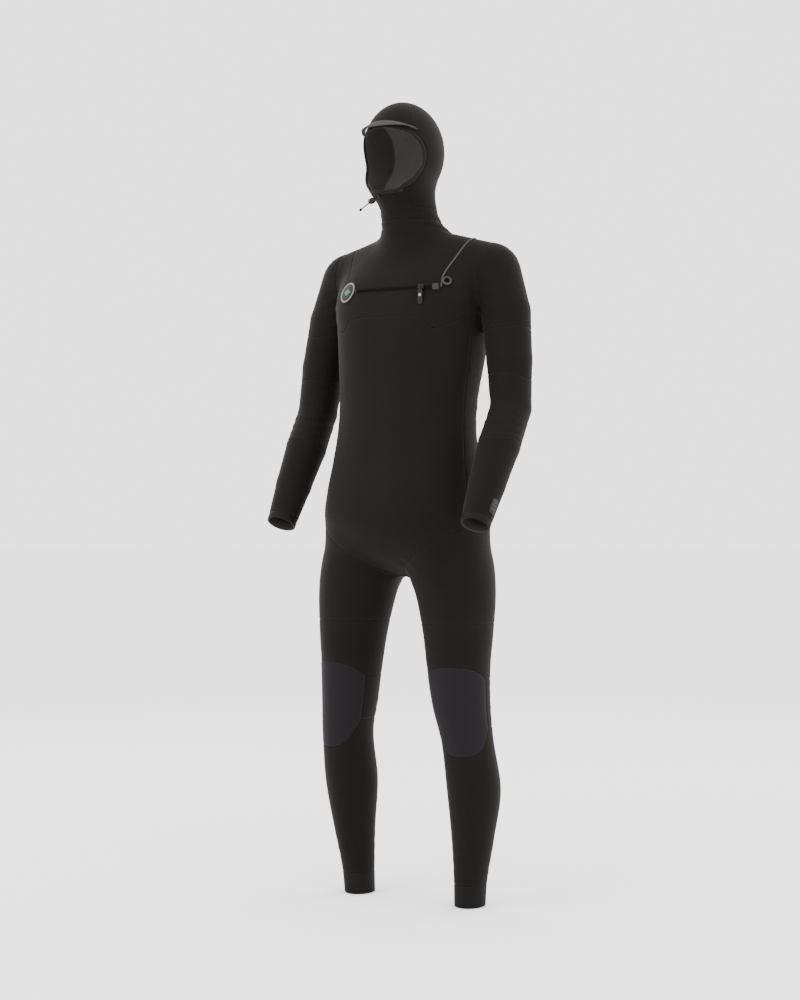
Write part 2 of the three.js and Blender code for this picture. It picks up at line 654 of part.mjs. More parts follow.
// A flat strip bent round the zip's centre, between two distances across and two heights.
function bentStrip(fromX, toX, inner, thick, tall, spans) {
  const [a, b] = [zipAngle(fromX), zipAngle(toX)];
  const corners = [];
  for (let k = 0; k <= spans; k++) {
    const t = a + ((b - a) * k) / spans;
    for (const [r, z] of [[inner, -1], [inner + thick, -1], [inner + thick, 1], [inner, 1]]) {
      const flat = new THREE.Vector3(Math.sin(t) * r, -Math.cos(t) * r, (z * tall) / 2);
      corners.push(flat.add(zipCentre));
    }
  }
  const index = [];
  for (let k = 0; k < spans; k++) {
    for (let c = 0; c < 4; c++) {
      const [p, q] = [k * 4 + c, k * 4 + ((c + 1) % 4)];
      index.push(p, q, q + 4, p, q + 4, p + 4);
    }
  }
  const z = spans * 4;
  index.push(0, 2, 1, 0, 3, 2, z, z + 1, z + 2, z, z + 2, z + 3);
  return fromTriangles(corners, index);
}
const stopLength = 5;
add("zip_chain", bentStrip(zipStartX, zipEndX, chainBack, chainThickness, chainHeight, 20), hardware);
add("zip_stop", bentStrip(zipStartX - stopLength, zipStartX - fitGap, chainBack, chainThickness, 1.4 * chainHeight, 1), hardware);
add("zip_garage", bentStrip(zipEndX + fitGap, flapCornerX, chainBack, 1.6 * chainThickness, 2 * chainHeight, 2), padding);
const tapeDepth = wall + 1.6;
const tapeRow = (offset) => neckAngles(32, -32, 14).map((a) =>
  ringPoint(wholeField, new THREE.Vector3(0, 20, zipHeight + offset), a));
add("zip_tape", shell([tapeRow(5), tapeRow(-5)], { free: "abse", thick: 1, out: -tapeDepth }), hardware);

// Slider and pull are drawn with the chain's face at y = 0 and out of the suit as -Y.
const wasm = await Module();
wasm.setup();
function toSolid(geometry) {
  const bare = geometry.clone();
  bare.deleteAttribute("normal");
  bare.deleteAttribute("uv");
  const merged = mergeVertices(bare);
  return new wasm.Manifold(new wasm.Mesh({
    numProp: 3,
    vertProperties: merged.attributes.position.array,
    triVerts: new Uint32Array(merged.index.array),
  }));
}
function toGeometry(solid) {
  const mesh = solid.getMesh();
  const geometry = new THREE.BufferGeometry();
  geometry.setAttribute("position", new THREE.BufferAttribute(mesh.vertProperties, 3));
  geometry.setIndex(new THREE.BufferAttribute(mesh.triVerts, 1));
  geometry.computeVertexNormals();
  return geometry;
}
const placed = (geometry, x, y, z) => toSolid(geometry.translate(x, y, z));
const alongX = (radius, length, sides) =>
  new THREE.CylinderGeometry(radius, radius, length, sides).rotateZ(Math.PI / 2);

const [sliderWide, sliderDeep, sliderTall] = sliderSize;
const [pullWide, pullThick, pullLong] = pullSize;
const pinRadius = 0.9;
const pinClearance = 0.35;
const pullEye = pinRadius + pinClearance + 1;
const lugThick = 1.4;
const pinY = -sliderDeep - pullEye - fitGap;
const pinZ = -0.2 * sliderTall;
const lugX = pullWide / 2 + fitGap + lugThick / 2;
function makeSlider() {
  let solid = placed(new THREE.BoxGeometry(sliderWide, sliderDeep, sliderTall), 0, -sliderDeep / 2, 0);
  const lugReach = -pinY - sliderDeep / 2;
  for (const side of [-1, 1]) {
    solid = solid.add(placed(alongX(pinRadius + 1, lugThick, 12), side * lugX, pinY, pinZ));
    const arm = new THREE.BoxGeometry(lugThick, lugReach, 2 * pinRadius + 2);
    solid = solid.add(placed(arm, side * lugX, pinY + lugReach / 2, pinZ));
  }
  return toGeometry(solid.add(placed(alongX(pinRadius, 2 * lugX, 12), 0, pinY, pinZ)));
}
function makePull() {
  const eye = placed(alongX(pullEye, pullWide, 12), 0, pinY, pinZ);
  const tab = placed(new THREE.BoxGeometry(pullWide, pullThick, pullLong), 0, pinY, pinZ - pullLong / 2);
  const bore = placed(alongX(pinRadius + pinClearance, pullWide + 2, 12), 0, pinY, pinZ);
  return toGeometry(eye.add(tab).subtract(bore));
}
const zipTurn = new THREE.Group();
zipTurn.position.copy(zipCentre);
zipTurn.rotation.z = zipAngle(zipClosedX);
suit.add(zipTurn);
for (const [name, geometry] of [["zip_slider", makeSlider()], ["zip_pull", makePull()]]) {
  const mesh = add(name, geometry, hardware);
  mesh.position.y = -(chainBack + chainThickness + fitGap);
  zipTurn.add(mesh);
}

// ---- hood drawcord with its lock ----
const cordRadius = 1.3;
const cordLength = 46;
const cordClearance = 0.35;
const cordWay = new THREE.Vector3(-0.5, -0.62, -0.6).normalize();
const cordExit = seamPoint(trunkField, new THREE.Vector3(-20, -112, jawHeight + 6)).at
  .addScaledVector(cordWay, 1.5);
const cord = new THREE.Group();
cord.position.copy(cordExit);
cord.quaternion.setFromUnitVectors(new THREE.Vector3(0, 1, 0), cordWay);
suit.add(cord);
// Adds a piece drawn in the cord's own frame, where the cord runs along +Y from 0.
function addOnCord(name, geometry, material) {
  cord.add(add(name, geometry, material));
}
const knotRadius = 3.2;
addOnCord("hood_drawcord", new THREE.CylinderGeometry(cordRadius, cordRadius, cordLength, 8, 6)
  .translate(0, cordLength / 2, 0), hardware);
addOnCord("cord_knot", new THREE.SphereGeometry(knotRadius, 10, 6)
  .translate(0, cordLength + knotRadius + fitGap, 0), hardware);
const gland = [[1, 0], [3.4, 0], [3.4, 1], [2.6, 2.5], [1, 2.5], [1, 0]].map(([r, y]) =>
  new THREE.Vector2(r === 1 ? cordRadius + cordClearance : r, y));
addOnCord("cord_eyelet", new THREE.LatheGeometry(gland, 12), hardware);

const lockRadius = 6.5;
const lockTall = 13;
const lockWall = 1.6;
const lockAt = 19; // along the cord
const plungerRadius = lockRadius - lockWall - cordClearance;
const plungerStart = -1.4;
const plungerEnd = 11.5;
const pressTravel = 3;
const cordBore = () => placed(new THREE.CylinderGeometry(cordRadius + cordClearance, cordRadius + cordClearance, 40, 8), 0, lockAt, 0);
function makeLock() {
  const barrel = new THREE.CylinderGeometry(lockRadius, lockRadius, lockTall, 16).rotateX(Math.PI / 2);
  const well = new THREE.CylinderGeometry(lockRadius - lockWall, lockRadius - lockWall, lockTall, 16).rotateX(Math.PI / 2);
  return toGeometry(placed(barrel, 0, lockAt, 0).subtract(placed(well, 0, lockAt, lockWall)).subtract(cordBore()));
}
function makeButton() {
  const plunger = new THREE.CylinderGeometry(plungerRadius, plungerRadius, plungerEnd - plungerStart, 16).rotateX(Math.PI / 2);
  const slotTall = 2 * (cordRadius + cordClearance) + pressTravel;
  const slot = new THREE.BoxGeometry(2 * (cordRadius + cordClearance), 40, slotTall);
  const body = placed(plunger, 0, lockAt, (plungerEnd + plungerStart) / 2);
  return toGeometry(body.subtract(placed(slot, 0, lockAt, pressTravel / 2)));
}
addOnCord("cord_lock_body", makeLock(), hardware);
addOnCord("cord_lock_button", makeButton(), metal);
const springRoom = [lockWall - lockTall / 2 + fitGap, plungerStart - fitGap];
const springProfile = [[1.8, 0], [plungerRadius - 0.4, 0], [plungerRadius - 0.4, 1], [1.8, 1], [1.8, 0]].map(
  ([r, t]) => new THREE.Vector2(r, springRoom[0] + t * (springRoom[1] - springRoom[0])));
const spring = new THREE.LatheGeometry(springProfile, 12).rotateX(Math.PI / 2).translate(0, lockAt, 0);
addOnCord("cord_lock_spring", spring, metal);

suit.position.copy(shoulderMid).negate();
export default suit;
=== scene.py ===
import bpy
import math
import numpy as np
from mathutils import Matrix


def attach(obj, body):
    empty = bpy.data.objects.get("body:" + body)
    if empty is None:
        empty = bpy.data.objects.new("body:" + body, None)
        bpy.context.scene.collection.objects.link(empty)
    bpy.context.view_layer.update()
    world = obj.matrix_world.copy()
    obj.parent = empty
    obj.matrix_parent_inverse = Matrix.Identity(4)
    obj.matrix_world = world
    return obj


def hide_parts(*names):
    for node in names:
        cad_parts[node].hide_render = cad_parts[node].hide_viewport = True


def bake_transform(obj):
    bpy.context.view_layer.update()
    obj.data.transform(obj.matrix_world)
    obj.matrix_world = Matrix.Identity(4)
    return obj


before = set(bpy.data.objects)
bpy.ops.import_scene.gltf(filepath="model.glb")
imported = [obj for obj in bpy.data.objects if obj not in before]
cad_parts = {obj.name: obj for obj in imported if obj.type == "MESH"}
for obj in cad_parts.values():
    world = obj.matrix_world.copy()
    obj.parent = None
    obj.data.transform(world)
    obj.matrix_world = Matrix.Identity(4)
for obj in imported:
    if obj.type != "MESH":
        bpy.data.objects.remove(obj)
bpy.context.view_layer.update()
shoulderMid = np.array([0.0, 26.0, 1385.0])
print("frame loaded")


def toFrame(points):
    return (np.asarray(points, float) - shoulderMid) / 1000


def unit(v):
    return v / np.maximum(np.linalg.norm(v, axis=-1, keepdims=True), 1e-12)


def mirror(points):
    return np.asarray(points, float) * [-1, 1, 1]


# ---- camera, floor and light ----
view = {"azimuth": 32, "distance": 4000, "height": 850, "aside": -21.3, "lens": 67.6}


def makeCamera():
    a = math.radians(view["azimuth"])
    out = np.array([math.sin(a), -math.cos(a), 0])
    right = np.array([math.cos(a), math.sin(a), 0])
    place = out * view["distance"] + right * view["aside"] + [0, 0, view["height"]]
    data = bpy.data.cameras.new("camera")
    data.lens = view["lens"]
    camera = bpy.data.objects.new("camera", data)
    camera.location = toFrame(place)
    camera.rotation_euler = (math.pi / 2, 0, a)
    bpy.context.collection.objects.link(camera)
    bpy.context.scene.camera = camera


studio = {
    "world": 2.6,
    "floor": (0.96, 0.96, 0.96),
    "floorRadius": 30.0,
    "lights": [  # name, azimuth, height, distance, size, power
        ("keyLight", -20, 1.5, 3.6, 2.6, 70),
        ("fillLight", 75, 0.6, 3.4, 2.4, 30),
        ("leftRim", 165, 0.7, 3.0, 2.0, 25),
        ("rightRim", -115, 0.7, 3.0, 2.0, 25),
        ("topLight", 20, 3.2, 0.8, 2.4, 22),
    ],
}


def makeStudio():
    world = bpy.data.worlds.new("studio")
    world.use_nodes = True
    world.node_tree.nodes["Background"].inputs["Color"].default_value = (1, 1, 1, 1)
    world.node_tree.nodes["Background"].inputs["Strength"].default_value = studio["world"]
    bpy.context.scene.world = world
    for name, azimuth, height, distance, size, power in studio["lights"]:
        a = math.radians(azimuth)
        data = bpy.data.lights.new(name, "AREA")
        data.size = size
        data.energy = power
        lamp = bpy.data.objects.new(name, data)
        spot = np.array([math.sin(a) * distance, -math.cos(a) * distance, height])
        lamp.location = spot
        aim = np.array([0, 0, -0.4]) - spot
        lamp.rotation_euler = (
            math.atan2(math.hypot(aim[0], aim[1]), -aim[2]),
            0,
            math.atan2(-aim[0], aim[1]),
        )
        bpy.context.collection.objects.link(lamp)
    turn = np.linspace(0, 2 * math.pi, 96, endpoint=False)
    ring = np.stack([np.cos(turn), np.sin(turn)], 1) * studio["floorRadius"]
    level = toFrame([0, 0, -1.2])[2]
    mesh = bpy.data.meshes.new("floor")
    mesh.from_pydata([(x, y, level) for x, y in ring], [], [list(range(96))])
    floor = bpy.data.objects.new("floor", mesh)
    bpy.context.collection.objects.link(floor)
    paint = bpy.data.materials.new("floorPaint")
    paint.use_nodes = True
    shader = paint.node_tree.nodes["Principled BSDF"]
    shader.inputs["Base Color"].default_value = (*studio["floor"], 1)
    shader.inputs["Roughness"].default_value = 0.9
    mesh.materials.append(paint)


makeCamera()
makeStudio()
print("camera and light placed")


# ---- shader maths ----
class Value:
    def __init__(self, graph, socket):
        self.graph = graph
        self.socket = socket

    def math(self, kind, *others):
        return self.graph.node("ShaderNodeMath", {"operation": kind}, dict(enumerate([self, *others])))

    def __add__(self, other):
        return self.math("ADD", other)

    def __sub__(self, other):
        return self.math("SUBTRACT", other)

    def __rsub__(self, other):
        return self.graph.node("ShaderNodeMath", {"operation": "SUBTRACT"}, {0: other, 1: self})

    def __mul__(self, other):
        return self.math("MULTIPLY", other)

    def __truediv__(self, other):
        return self.math("DIVIDE", other)

    def __gt__(self, other):
        return self.math("GREATER_THAN", other)

    def __lt__(self, other):
        return self.math("LESS_THAN", other)

    __radd__ = __add__
    __rmul__ = __mul__

    def wave(self, length):
        return (self * (2 * math.pi / length)).math("SINE")

    def size(self):
        return self.math("ABSOLUTE")

    def ramp(self, low, high):
        return self.graph.node("ShaderNodeMapRange", {}, {"Value": self, "From Min": low, "From Max": high})


class Graph:
    def __init__(self, name):
        self.material = bpy.data.materials.new(name)
        self.material.use_nodes = True
        self.tree = self.material.node_tree
        self.shader = self.tree.nodes["Principled BSDF"]

    # Any node: its kind, its settings, then what its sockets take. output picks the socket given back.
    def node(self, kind, settings, inputs, output=0):
        made = self.tree.nodes.new(kind)
        for key, value in settings.items():
            setattr(made, key, value)
        for key, value in inputs.items():
            self.feed(made.inputs[key], value)
        return Value(self, made.outputs[output])

    def feed(self, socket, value):
        if isinstance(value, Value):
            self.tree.links.new(value.socket, socket)
        else:
            socket.default_value = value

    def place(self):
        return self.node("ShaderNodeTexCoord", {}, {}, "Object")

    def attribute(self, name):
        return self.node("ShaderNodeAttribute", {"attribute_name": name}, {}, "Fac")

    def noise(self, scale, detail=3, vector=None):
        where = vector or self.place()
        return self.node("ShaderNodeTexNoise", {}, {"Vector": where, "Scale": scale, "Detail": detail}, "Fac")

    def mix(self, share, a, b):
        settings = {"data_type": "RGBA"}
        return self.node("ShaderNodeMix", settings, {0: share, 6: a, 7: b}, 2)

    def bump(self, height, distance, strength=1.0, normal=None):
        inputs = {"Height": height, "Distance": distance, "Strength": strength}
        if normal is not None:
            inputs["Normal"] = normal
        return self.node("ShaderNodeBump", {}, inputs)

    def set(self, **values):
        for key, value in values.items():
            self.feed(self.shader.inputs[key.replace("_", " ")], value)
        return self.material


def tone(value, alpha=1.0):
    return (*value, alpha)


cloth = {
    "jersey": (0.0023, 0.0018, 0.0016),
    "jerseyPale": (0.0044, 0.0035, 0.0031),
    "lining": (0.022, 0.0205, 0.020),
    "wear": (0.0095, 0.0085, 0.0080),
    "knit": 0.0011,  # metres from rib to rib
    "stitch": 3.2,  # millimetres from stitch to stitch
    "stitchOff": 3.0,  # millimetres from the seam
    "tapeOff": 9.0,
    "sheen": 0.03,
    "shine": 0.11,
    "shineTint": (1.0, 0.88, 0.82, 1),
}


# Jersey: colour = base to pale by cloudy noise, then a dotted pattern, then wear and stitches beside seams.
# Stitches are short dashes beside a seam, where a sine of the run along it is high.
# Bump = knit ribs (a sine one way + a sine the other) + stitches + grain.
# A hood's lining is paler in its middle.
def makeJersey(name, base, pale, knit=1.0, rough=0.78, pattern=None, lining=None):
    g = Graph(name)
    away = g.attribute("seamAway")
    run = g.attribute("seamRun")
    inner = g.attribute("inner")
    along = g.attribute("clothU")
    across = g.attribute("clothV")
    cloudy = g.noise(9, 4).ramp(0.3, 0.75)
    grain = g.noise(900, 2).ramp(0.3, 0.7)
    ribs = along.wave(cloth["knit"]) * 0.5 + across.wave(cloth["knit"] * 1.3) * 0.5
    line = 1 - ((away - cloth["stitchOff"]).size() - 0.15).ramp(0.0, 0.35)
    dash = (run.wave(cloth["stitch"]) + 0.35).ramp(0.0, 0.3)
    stitch = line * dash
    wear = 1 - away.ramp(0.5, 9.0)
    colour = g.mix(cloudy * 0.5 + grain * 0.3, tone(base), tone(pale))
    if pattern is not None:
        dots = (along.wave(pattern["pitch"]) * across.wave(pattern["pitch"])).ramp(0.25, 0.5)
        colour = g.mix(dots * pattern["share"], colour, tone(pattern["colour"]))
        ribs = ribs * 0.4 + dots * 1.6
    colour = g.mix(wear * 0.09 + stitch * 0.2, colour, tone(cloth["wear"]))
    tape = 1 - (away - cloth["tapeOff"]).ramp(0.0, 0.6)
    inside = g.mix(tape * 0.4, tone(cloth["lining"]), tone(cloth["wear"]))
    if lining is not None:
        aside = g.node("ShaderNodeSeparateXYZ", {}, {"Vector": g.place()}).size()
        middle = aside.ramp(lining["half"] + 0.001, lining["half"] - 0.001)
        inside = g.mix(middle, tone(lining["side"]), tone(lining["middle"]))
    colour = g.mix(inner, colour, inside)
    height = ribs * (0.10 * knit) + stitch * 0.7 + grain * 0.25
    normal = g.bump(height, 0.0004, 0.55)
    soft = g.noise(26, 3)
    normal = g.bump(soft, 0.0012, 0.35, normal)
    tint = cloth["shineTint"]
    g.set(Sheen_Weight=cloth["sheen"], Sheen_Roughness=0.45, Sheen_Tint=tint)
    g.set(Specular_IOR_Level=cloth["shine"], Specular_Tint=tint)
    return g.set(Base_Color=colour, Roughness=rough + grain * 0.12, Normal=normal)


# Moulded plastic: colour = base + fine cloud; bump = spark-eroded grain.
def makePlastic(name, base, rough=0.42, grainScale=2600, metal=0.0, shine=0.2):
    g = Graph(name)
    cloudy = g.noise(300, 3).ramp(0.3, 0.7)
    grain = g.noise(grainScale, 2)
    pale = tuple(min(1.0, c * 1.5) for c in base)
    colour = g.mix(cloudy * 0.6, tone(base), tone(pale))
    g.set(Metallic=metal, Specular_IOR_Level=shine)
    return g.set(Base_Color=colour, Roughness=rough + cloudy * 0.14, Normal=g.bump(grain, 0.0001, 0.4))


# Smooth-skin rubber: colour = base + cloud; roughness varies with the cloud; bump = fine pebble.
def makeRubber(name, base, rough=0.5):
    g = Graph(name)
    away = g.attribute("seamAway")
    inner = g.attribute("inner")
    cloudy = g.noise(22, 4).ramp(0.3, 0.7)
    pebble = g.noise(1500, 2)
    pale = tuple(c * 1.5 for c in base)
    colour = g.mix(cloudy * 0.6, tone(base), tone(pale))
    colour = g.mix((1 - away.ramp(0.5, 5.0)) * 0.15, colour, tone(cloth["wear"]))
    colour = g.mix(inner, colour, tone(cloth["lining"]))
    g.set(Specular_IOR_Level=cloth["shine"])
    return g.set(Base_Color=colour, Roughness=rough + cloudy * 0.15, Normal=g.bump(pebble, 0.0002, 0.4))


# Woven tape: thread = a sine of the slanted distance + a sine across; it drives both colour and bump.
def makeWoven(name, base, pale, pitch=0.0009):
    g = Graph(name)
    along = g.attribute("clothU")
    across = g.attribute("clothV")
    twill = (along + across).wave(pitch)
    rib = across.wave(pitch * 2.2)
    thread = twill * 0.3 + rib * 0.2 + 0.5
    colour = g.mix(thread, tone(base), tone(pale))
    g.set(Sheen_Weight=cloth["sheen"], Specular_IOR_Level=0.12)
    return g.set(Base_Color=colour, Roughness=0.78 + thread * 0.1, Normal=g.bump(thread, 0.0003, 0.5))


# Badge: each shape is a mask on the patch's own two ways, padU and padV, from -1 to 1.
def makeBadge(name, ground, groundPale, shapes):
    g = Graph(name)
    u, v = g.attribute("padU"), g.attribute("padV")
    cloudy = g.noise(260, 3).ramp(0.35, 0.65)
    colour = g.mix(cloudy * 0.5, tone(ground), tone(groundPale))
    for shape, paint in shapes(u, v):
        colour = g.mix(shape, colour, tone(paint))
    g.set(Specular_IOR_Level=0.2)
    return g.set(Base_Color=colour, Roughness=0.45 + cloudy * 0.12, Normal=g.bump(cloudy, 0.0001, 0.3))


# A ring of radius 0.86 and a green lozenge in its middle.
def chestMark(u, v):
    r = (u * u + v * v).math("SQRT")
    ring = ((r - 0.84).size() - 0.045).ramp(0.02, 0.0)
    lozenge = (u.size() * 2.2 + v.size() * 3.1).ramp(1.03, 0.97)
    return [(ring, (0.17, 0.165, 0.16)), (lozenge, (0.022, 0.115, 0.088))]


# Two plain bars and a small ring, in grey.
def wristMark(u, v):
    rows = (v - 0.1).size().ramp(0.13, 0.1) + (v + 0.35).size().ramp(0.13, 0.1)
    bars = rows * u.size().ramp(0.62, 0.58)
    r = (u * u + (v - 0.62) * (v - 0.62) * 3.1).math("SQRT")
    ring = ((r - 0.34).size() - 0.07).ramp(0.03, 0.0)
    return [(bars, (0.020, 0.019, 0.0185)), (ring, (0.040, 0.0385, 0.0375))]


# A pale ring of radius 0.80 on the round toggle.
def toggleMark(u, v):
    r = (u * u + v * v).math("SQRT")
    return [(((r - 0.80).size() - 0.10).ramp(0.04, 0.0), (0.028, 0.027, 0.026))]


jersey = makeJersey("jersey", cloth["jersey"], cloth["jerseyPale"])
hoodLining = {"half": 0.060, "side": (0.050, 0.045, 0.042), "middle": (0.115, 0.110, 0.106)}
hoodJersey = makeJersey("hoodJersey", cloth["jersey"], cloth["jerseyPale"], lining=hoodLining)
padPrint = {"pitch": 0.0046, "share": 0.3, "colour": (0.0066, 0.0060, 0.0084)}
kneeCloth = makeJersey("kneeCloth", (0.0036, 0.0032, 0.0046), (0.0056, 0.0050, 0.0070), 1.0, 0.66, padPrint)
elbowCloth = makeJersey("elbowCloth", (0.0022, 0.0018, 0.0016), (0.0042, 0.0034, 0.0030), 1.3, 0.74)
cuffRubber = makeRubber("cuffRubber", (0.0022, 0.0018, 0.0016), 0.6)
brimCloth = makeJersey("brimCloth", (0.028, 0.026, 0.025), (0.040, 0.038, 0.0365), 1.2, 0.8)
rimBinding = makeWoven("rimBinding", (0.0034, 0.0029, 0.0026), (0.0066, 0.0058, 0.0053))
paleBinding = makeWoven("paleBinding", (0.030, 0.028, 0.026), (0.050, 0.047, 0.045))
blackPlastic = makePlastic("blackPlastic", (0.0020, 0.0019, 0.0019), 0.5)
greyPlastic = makePlastic("greyPlastic", (0.011, 0.0105, 0.0100), 0.45)
brushedMetal = makePlastic("brushedMetal", (0.20, 0.195, 0.19), 0.38, 1800, 1.0)
cordBraid = makeWoven("cordBraid", (0.0022, 0.0021, 0.0021), (0.0060, 0.0057, 0.0056), 0.0016)
black, blackPale = (0.0018, 0.0017, 0.0017), (0.0034, 0.0032, 0.0031)
badgeRubber = makeBadge("badgeRubber", black, blackPale, chestMark)
cuffPrint = makeBadge("cuffPrint", (0.0024, 0.0020, 0.0018), (0.0044, 0.0037, 0.0033), wristMark)
toggleRubber = makeBadge("toggleRubber", black, blackPale, toggleMark)
zipPlastic = makePlastic("zipPlastic", (0.0021, 0.0017, 0.0015), 0.7, 1400, 0.0, 0.09)
print("materials made")


# ---- the wearer's shape: a smooth field, negative inside ----
body = {"collar": 1441, "jaw": 1466}
# height, centre y, half width, half depth, squareness
trunkRows = np.array([
    [690, -10, 30, 20, 2], [712, -11, 95, 62, 2], [740, -11, 150, 104, 2.1],
    [775, -12, 175.9, 124, 2.2], [815, -13, 184, 133, 2.25], [870, -15, 176.6, 126, 2.3],
    [930, -16, 164, 112, 2.35], [1000, -13, 154, 103, 2.4], [1070, -5, 153, 106, 2.45],
    [1140, 5, 157.9, 115, 2.55], [1208, 13, 160.9, 122, 2.75], [1268, 19, 168, 121, 2.9],
    [1318, 26, 159.6, 107, 2.8], [1360, 32, 126, 84, 2.5], [1395, 34, 70, 46, 2], [1415, 34, 25, 16, 2],
])
# height, centre x, centre y, half width, half depth
legRows = np.array([
    [-40, 137, 17, 31, 36], [0, 138, 16, 31.5, 37], [60, 141, 14, 34.5, 39], [140, 148, 11, 43.5, 48],
    [243, 153, 7, 55, 61], [350, 149, -13, 52.5, 60], [422, 139, -20, 58, 66], [500, 133, -22, 64.5, 71],
    [575, 130, -19, 72.5, 79], [652, 122, -15, 82, 90], [714, 106, -12, 90, 101], [765, 97, -12, 84, 96],
    [810, 95, -12, 60, 70], [845, 95, -12, 20, 25],
])
# the middle of the left sleeve with its radius
armLine = np.array([
    [187, 38, 1326, 54], [217, 30, 1240, 51], [232, 17, 1140, 47.5], [242, 5, 1040, 42.5],
    [240, -42, 962, 43.5], [239, -90, 882, 38], [238, -138, 800, 30.5], [238, -160, 763, 29],
])


# A smooth value between rows by cubic Hermite spans: ends weighted by (1+2t)s², t²(3-2t), slopes by t·s·w.
def smoothRows(height, rows):
    z = np.clip(height, rows[0, 0], rows[-1, 0])
    i = np.clip(np.searchsorted(rows[:, 0], z, side="left") - 1, 0, len(rows) - 2)
    before = np.maximum(np.arange(len(rows)) - 1, 0)
    after = np.minimum(np.arange(len(rows)) + 1, len(rows) - 1)
    slopes = (rows[after, 1:] - rows[before, 1:]) / (rows[after, 0] - rows[before, 0])[:, None]
    w = (rows[i + 1, 0] - rows[i, 0])[..., None]
    t = (z - rows[i, 0])[..., None] / w
    s = 1 - t
    ends = (1 + 2 * t) * s * s * rows[i, 1:] + t * t * (3 - 2 * t) * rows[i + 1, 1:]
    out = ends + t * s * w * (s * slopes[i] - t * slopes[i + 1])
    return np.moveaxis(out, -1, 0)


# The lesser of two distances, rounded where they are within k of each other.
def join(a, b, k):
    h = np.maximum(k - np.abs(a - b), 0) / k
    return np.minimum(a, b) - h * h * k / 4


# Distance to a tapered bar with round ends.
def bar(p, a, b, ra, rb):
    a, b = np.array(a, float), np.array(b, float)
    d = b - a
    h = np.clip((p - a) @ d / (d @ d), 0, 1)
    return np.linalg.norm(p - a - h[..., None] * d, axis=-1) - (ra + (rb - ra) * h)


def egg(p, centre, radii):
    return (np.linalg.norm((p - centre) / radii, axis=-1) - 1) * min(radii)


def pastEnds(distance, height, rows):
    over = np.maximum(np.maximum(rows[0, 0] - height, height - rows[-1, 0]), 0)
    return np.where(over > 0, np.hypot(np.maximum(distance, 0), over), distance)


def legField(p):
    cx, cy, a, b = smoothRows(p[..., 2], legRows)
    q = np.hypot((np.hypot(p[..., 0], 5) - cx) / a, (p[..., 1] - cy) / b)
    return pastEnds((q - 1) * np.minimum(a, b), p[..., 2], legRows)


def trunkField(p):
    q = p * [1, 1, 1]
    q[..., 0] = np.abs(p[..., 0])
    cy, a, b, square = smoothRows(p[..., 2], trunkRows)
    t = ((q[..., 0] / a) ** square + (np.abs(p[..., 1] - cy) / b) ** square) ** (1 / square)
    f = join(pastEnds((t - 1) * np.minimum(a, b), p[..., 2], trunkRows), legField(p), 30)
    f = join(f, bar(q, [0, 26, 1375], [176, 38, 1340], 60, 50), 45)
    f = join(f, bar(q, [0, 22, 1360], [0, -14, 1500], 66, 58), 34)
    head = join(egg(p, [0, -24, 1588], [80, 101, 103]), egg(p, [0, -55, 1525], [62.4, 60, 58]), 25)
    return join(f, head, 24)


def armField(p):
    q = p * [1, 1, 1]
    q[..., 0] = np.abs(p[..., 0])
    f = None
    for low, high in zip(armLine[:-1], armLine[1:]):
        d = bar(q, low[:3], high[:3], low[3], high[3])
        f = d if f is None else join(f, d, 3)
    return f


def wholeField(p):
    return join(trunkField(p), armField(p), 14)


def steepest(field, p):
    steps = np.eye(3) * 0.5
    return np.stack([field(p + s) - field(p - s) for s in steps], -1)


# The nearest point of the skin, by Newton steps down the field.
def lay(field, p, steps=6):
    q = np.array(p, float)
    for _ in range(steps):
        g = steepest(field, q)
        q -= g * (field(q) / np.maximum((g * g).sum(-1), 1e-9))[..., None]
    return q


# Points where rays from mid, turned about axis, leave the skin; turns are shares of a full turn.
def ringAt(field, mid, axis, first, turns):
    mid = np.array(mid, float)
    n = unit(np.array(axis, float))
    first = np.array(first, float)
    start = unit(first - (first @ n) * n)
    angle = 2 * math.pi * np.asarray(turns, float)[..., None]
    rays = start * np.cos(angle) + np.cross(n, start) * np.sin(angle)
    low = np.full(rays.shape[:-1], 2.0)
    for _ in range(60):
        inside = field(mid + rays * (low + 6)[..., None]) < 0
        low = np.where(inside, low + 6, low)
        if not inside.any():
            break
    high = low + 6
    for _ in range(22):
        half = (low + high) / 2
        inside = field(mid + rays * half[..., None]) < 0
        low = np.where(inside, half, low)
        high = np.where(inside, high, half)
    return mid + rays * low[..., None]


# A curve through points taken in even steps of its length, Catmull-Rom on the root of the chords.
def along(points, shares):
    p = np.asarray(points, float)
    knots = np.concatenate([[0], np.cumsum(np.linalg.norm(np.diff(p, axis=0), axis=1) ** 0.5)])
    fine = smoothRows(np.linspace(0, knots[-1], 40 * len(p)), np.column_stack([knots, p])).T
    run = np.concatenate([[0], np.cumsum(np.linalg.norm(np.diff(fine, axis=0), axis=1))])
    want = np.asarray(shares) * run[-1]
    return np.stack([np.interp(want, run, fine[:, c]) for c in range(3)], -1)


# A curve through points at whole numbers, read at any number between them.
def atIndex(points, s):
    p = np.asarray(points, float)
    flat = p.reshape(len(p), -1)
    rows = np.column_stack([np.arange(len(p)), flat])
    out = smoothRows(np.asarray(s, float), rows)
    return np.moveaxis(out, 0, -1).reshape(np.shape(s) + p.shape[1:])


# Shares along a length: close together at both ends for the seam's fall, then even.
def spaced(length, step=6.0, ends=(0.5, 1.2, 2.2, 3.6)):
    edge = np.array([0, *ends]) / length
    count = max(int((length - 2 * ends[-1]) / step), 2)
    middle = np.linspace(edge[-1], 1 - edge[-1], count + 1)
    return np.concatenate([edge[:-1], middle, (1 - edge[:-1])[::-1]])


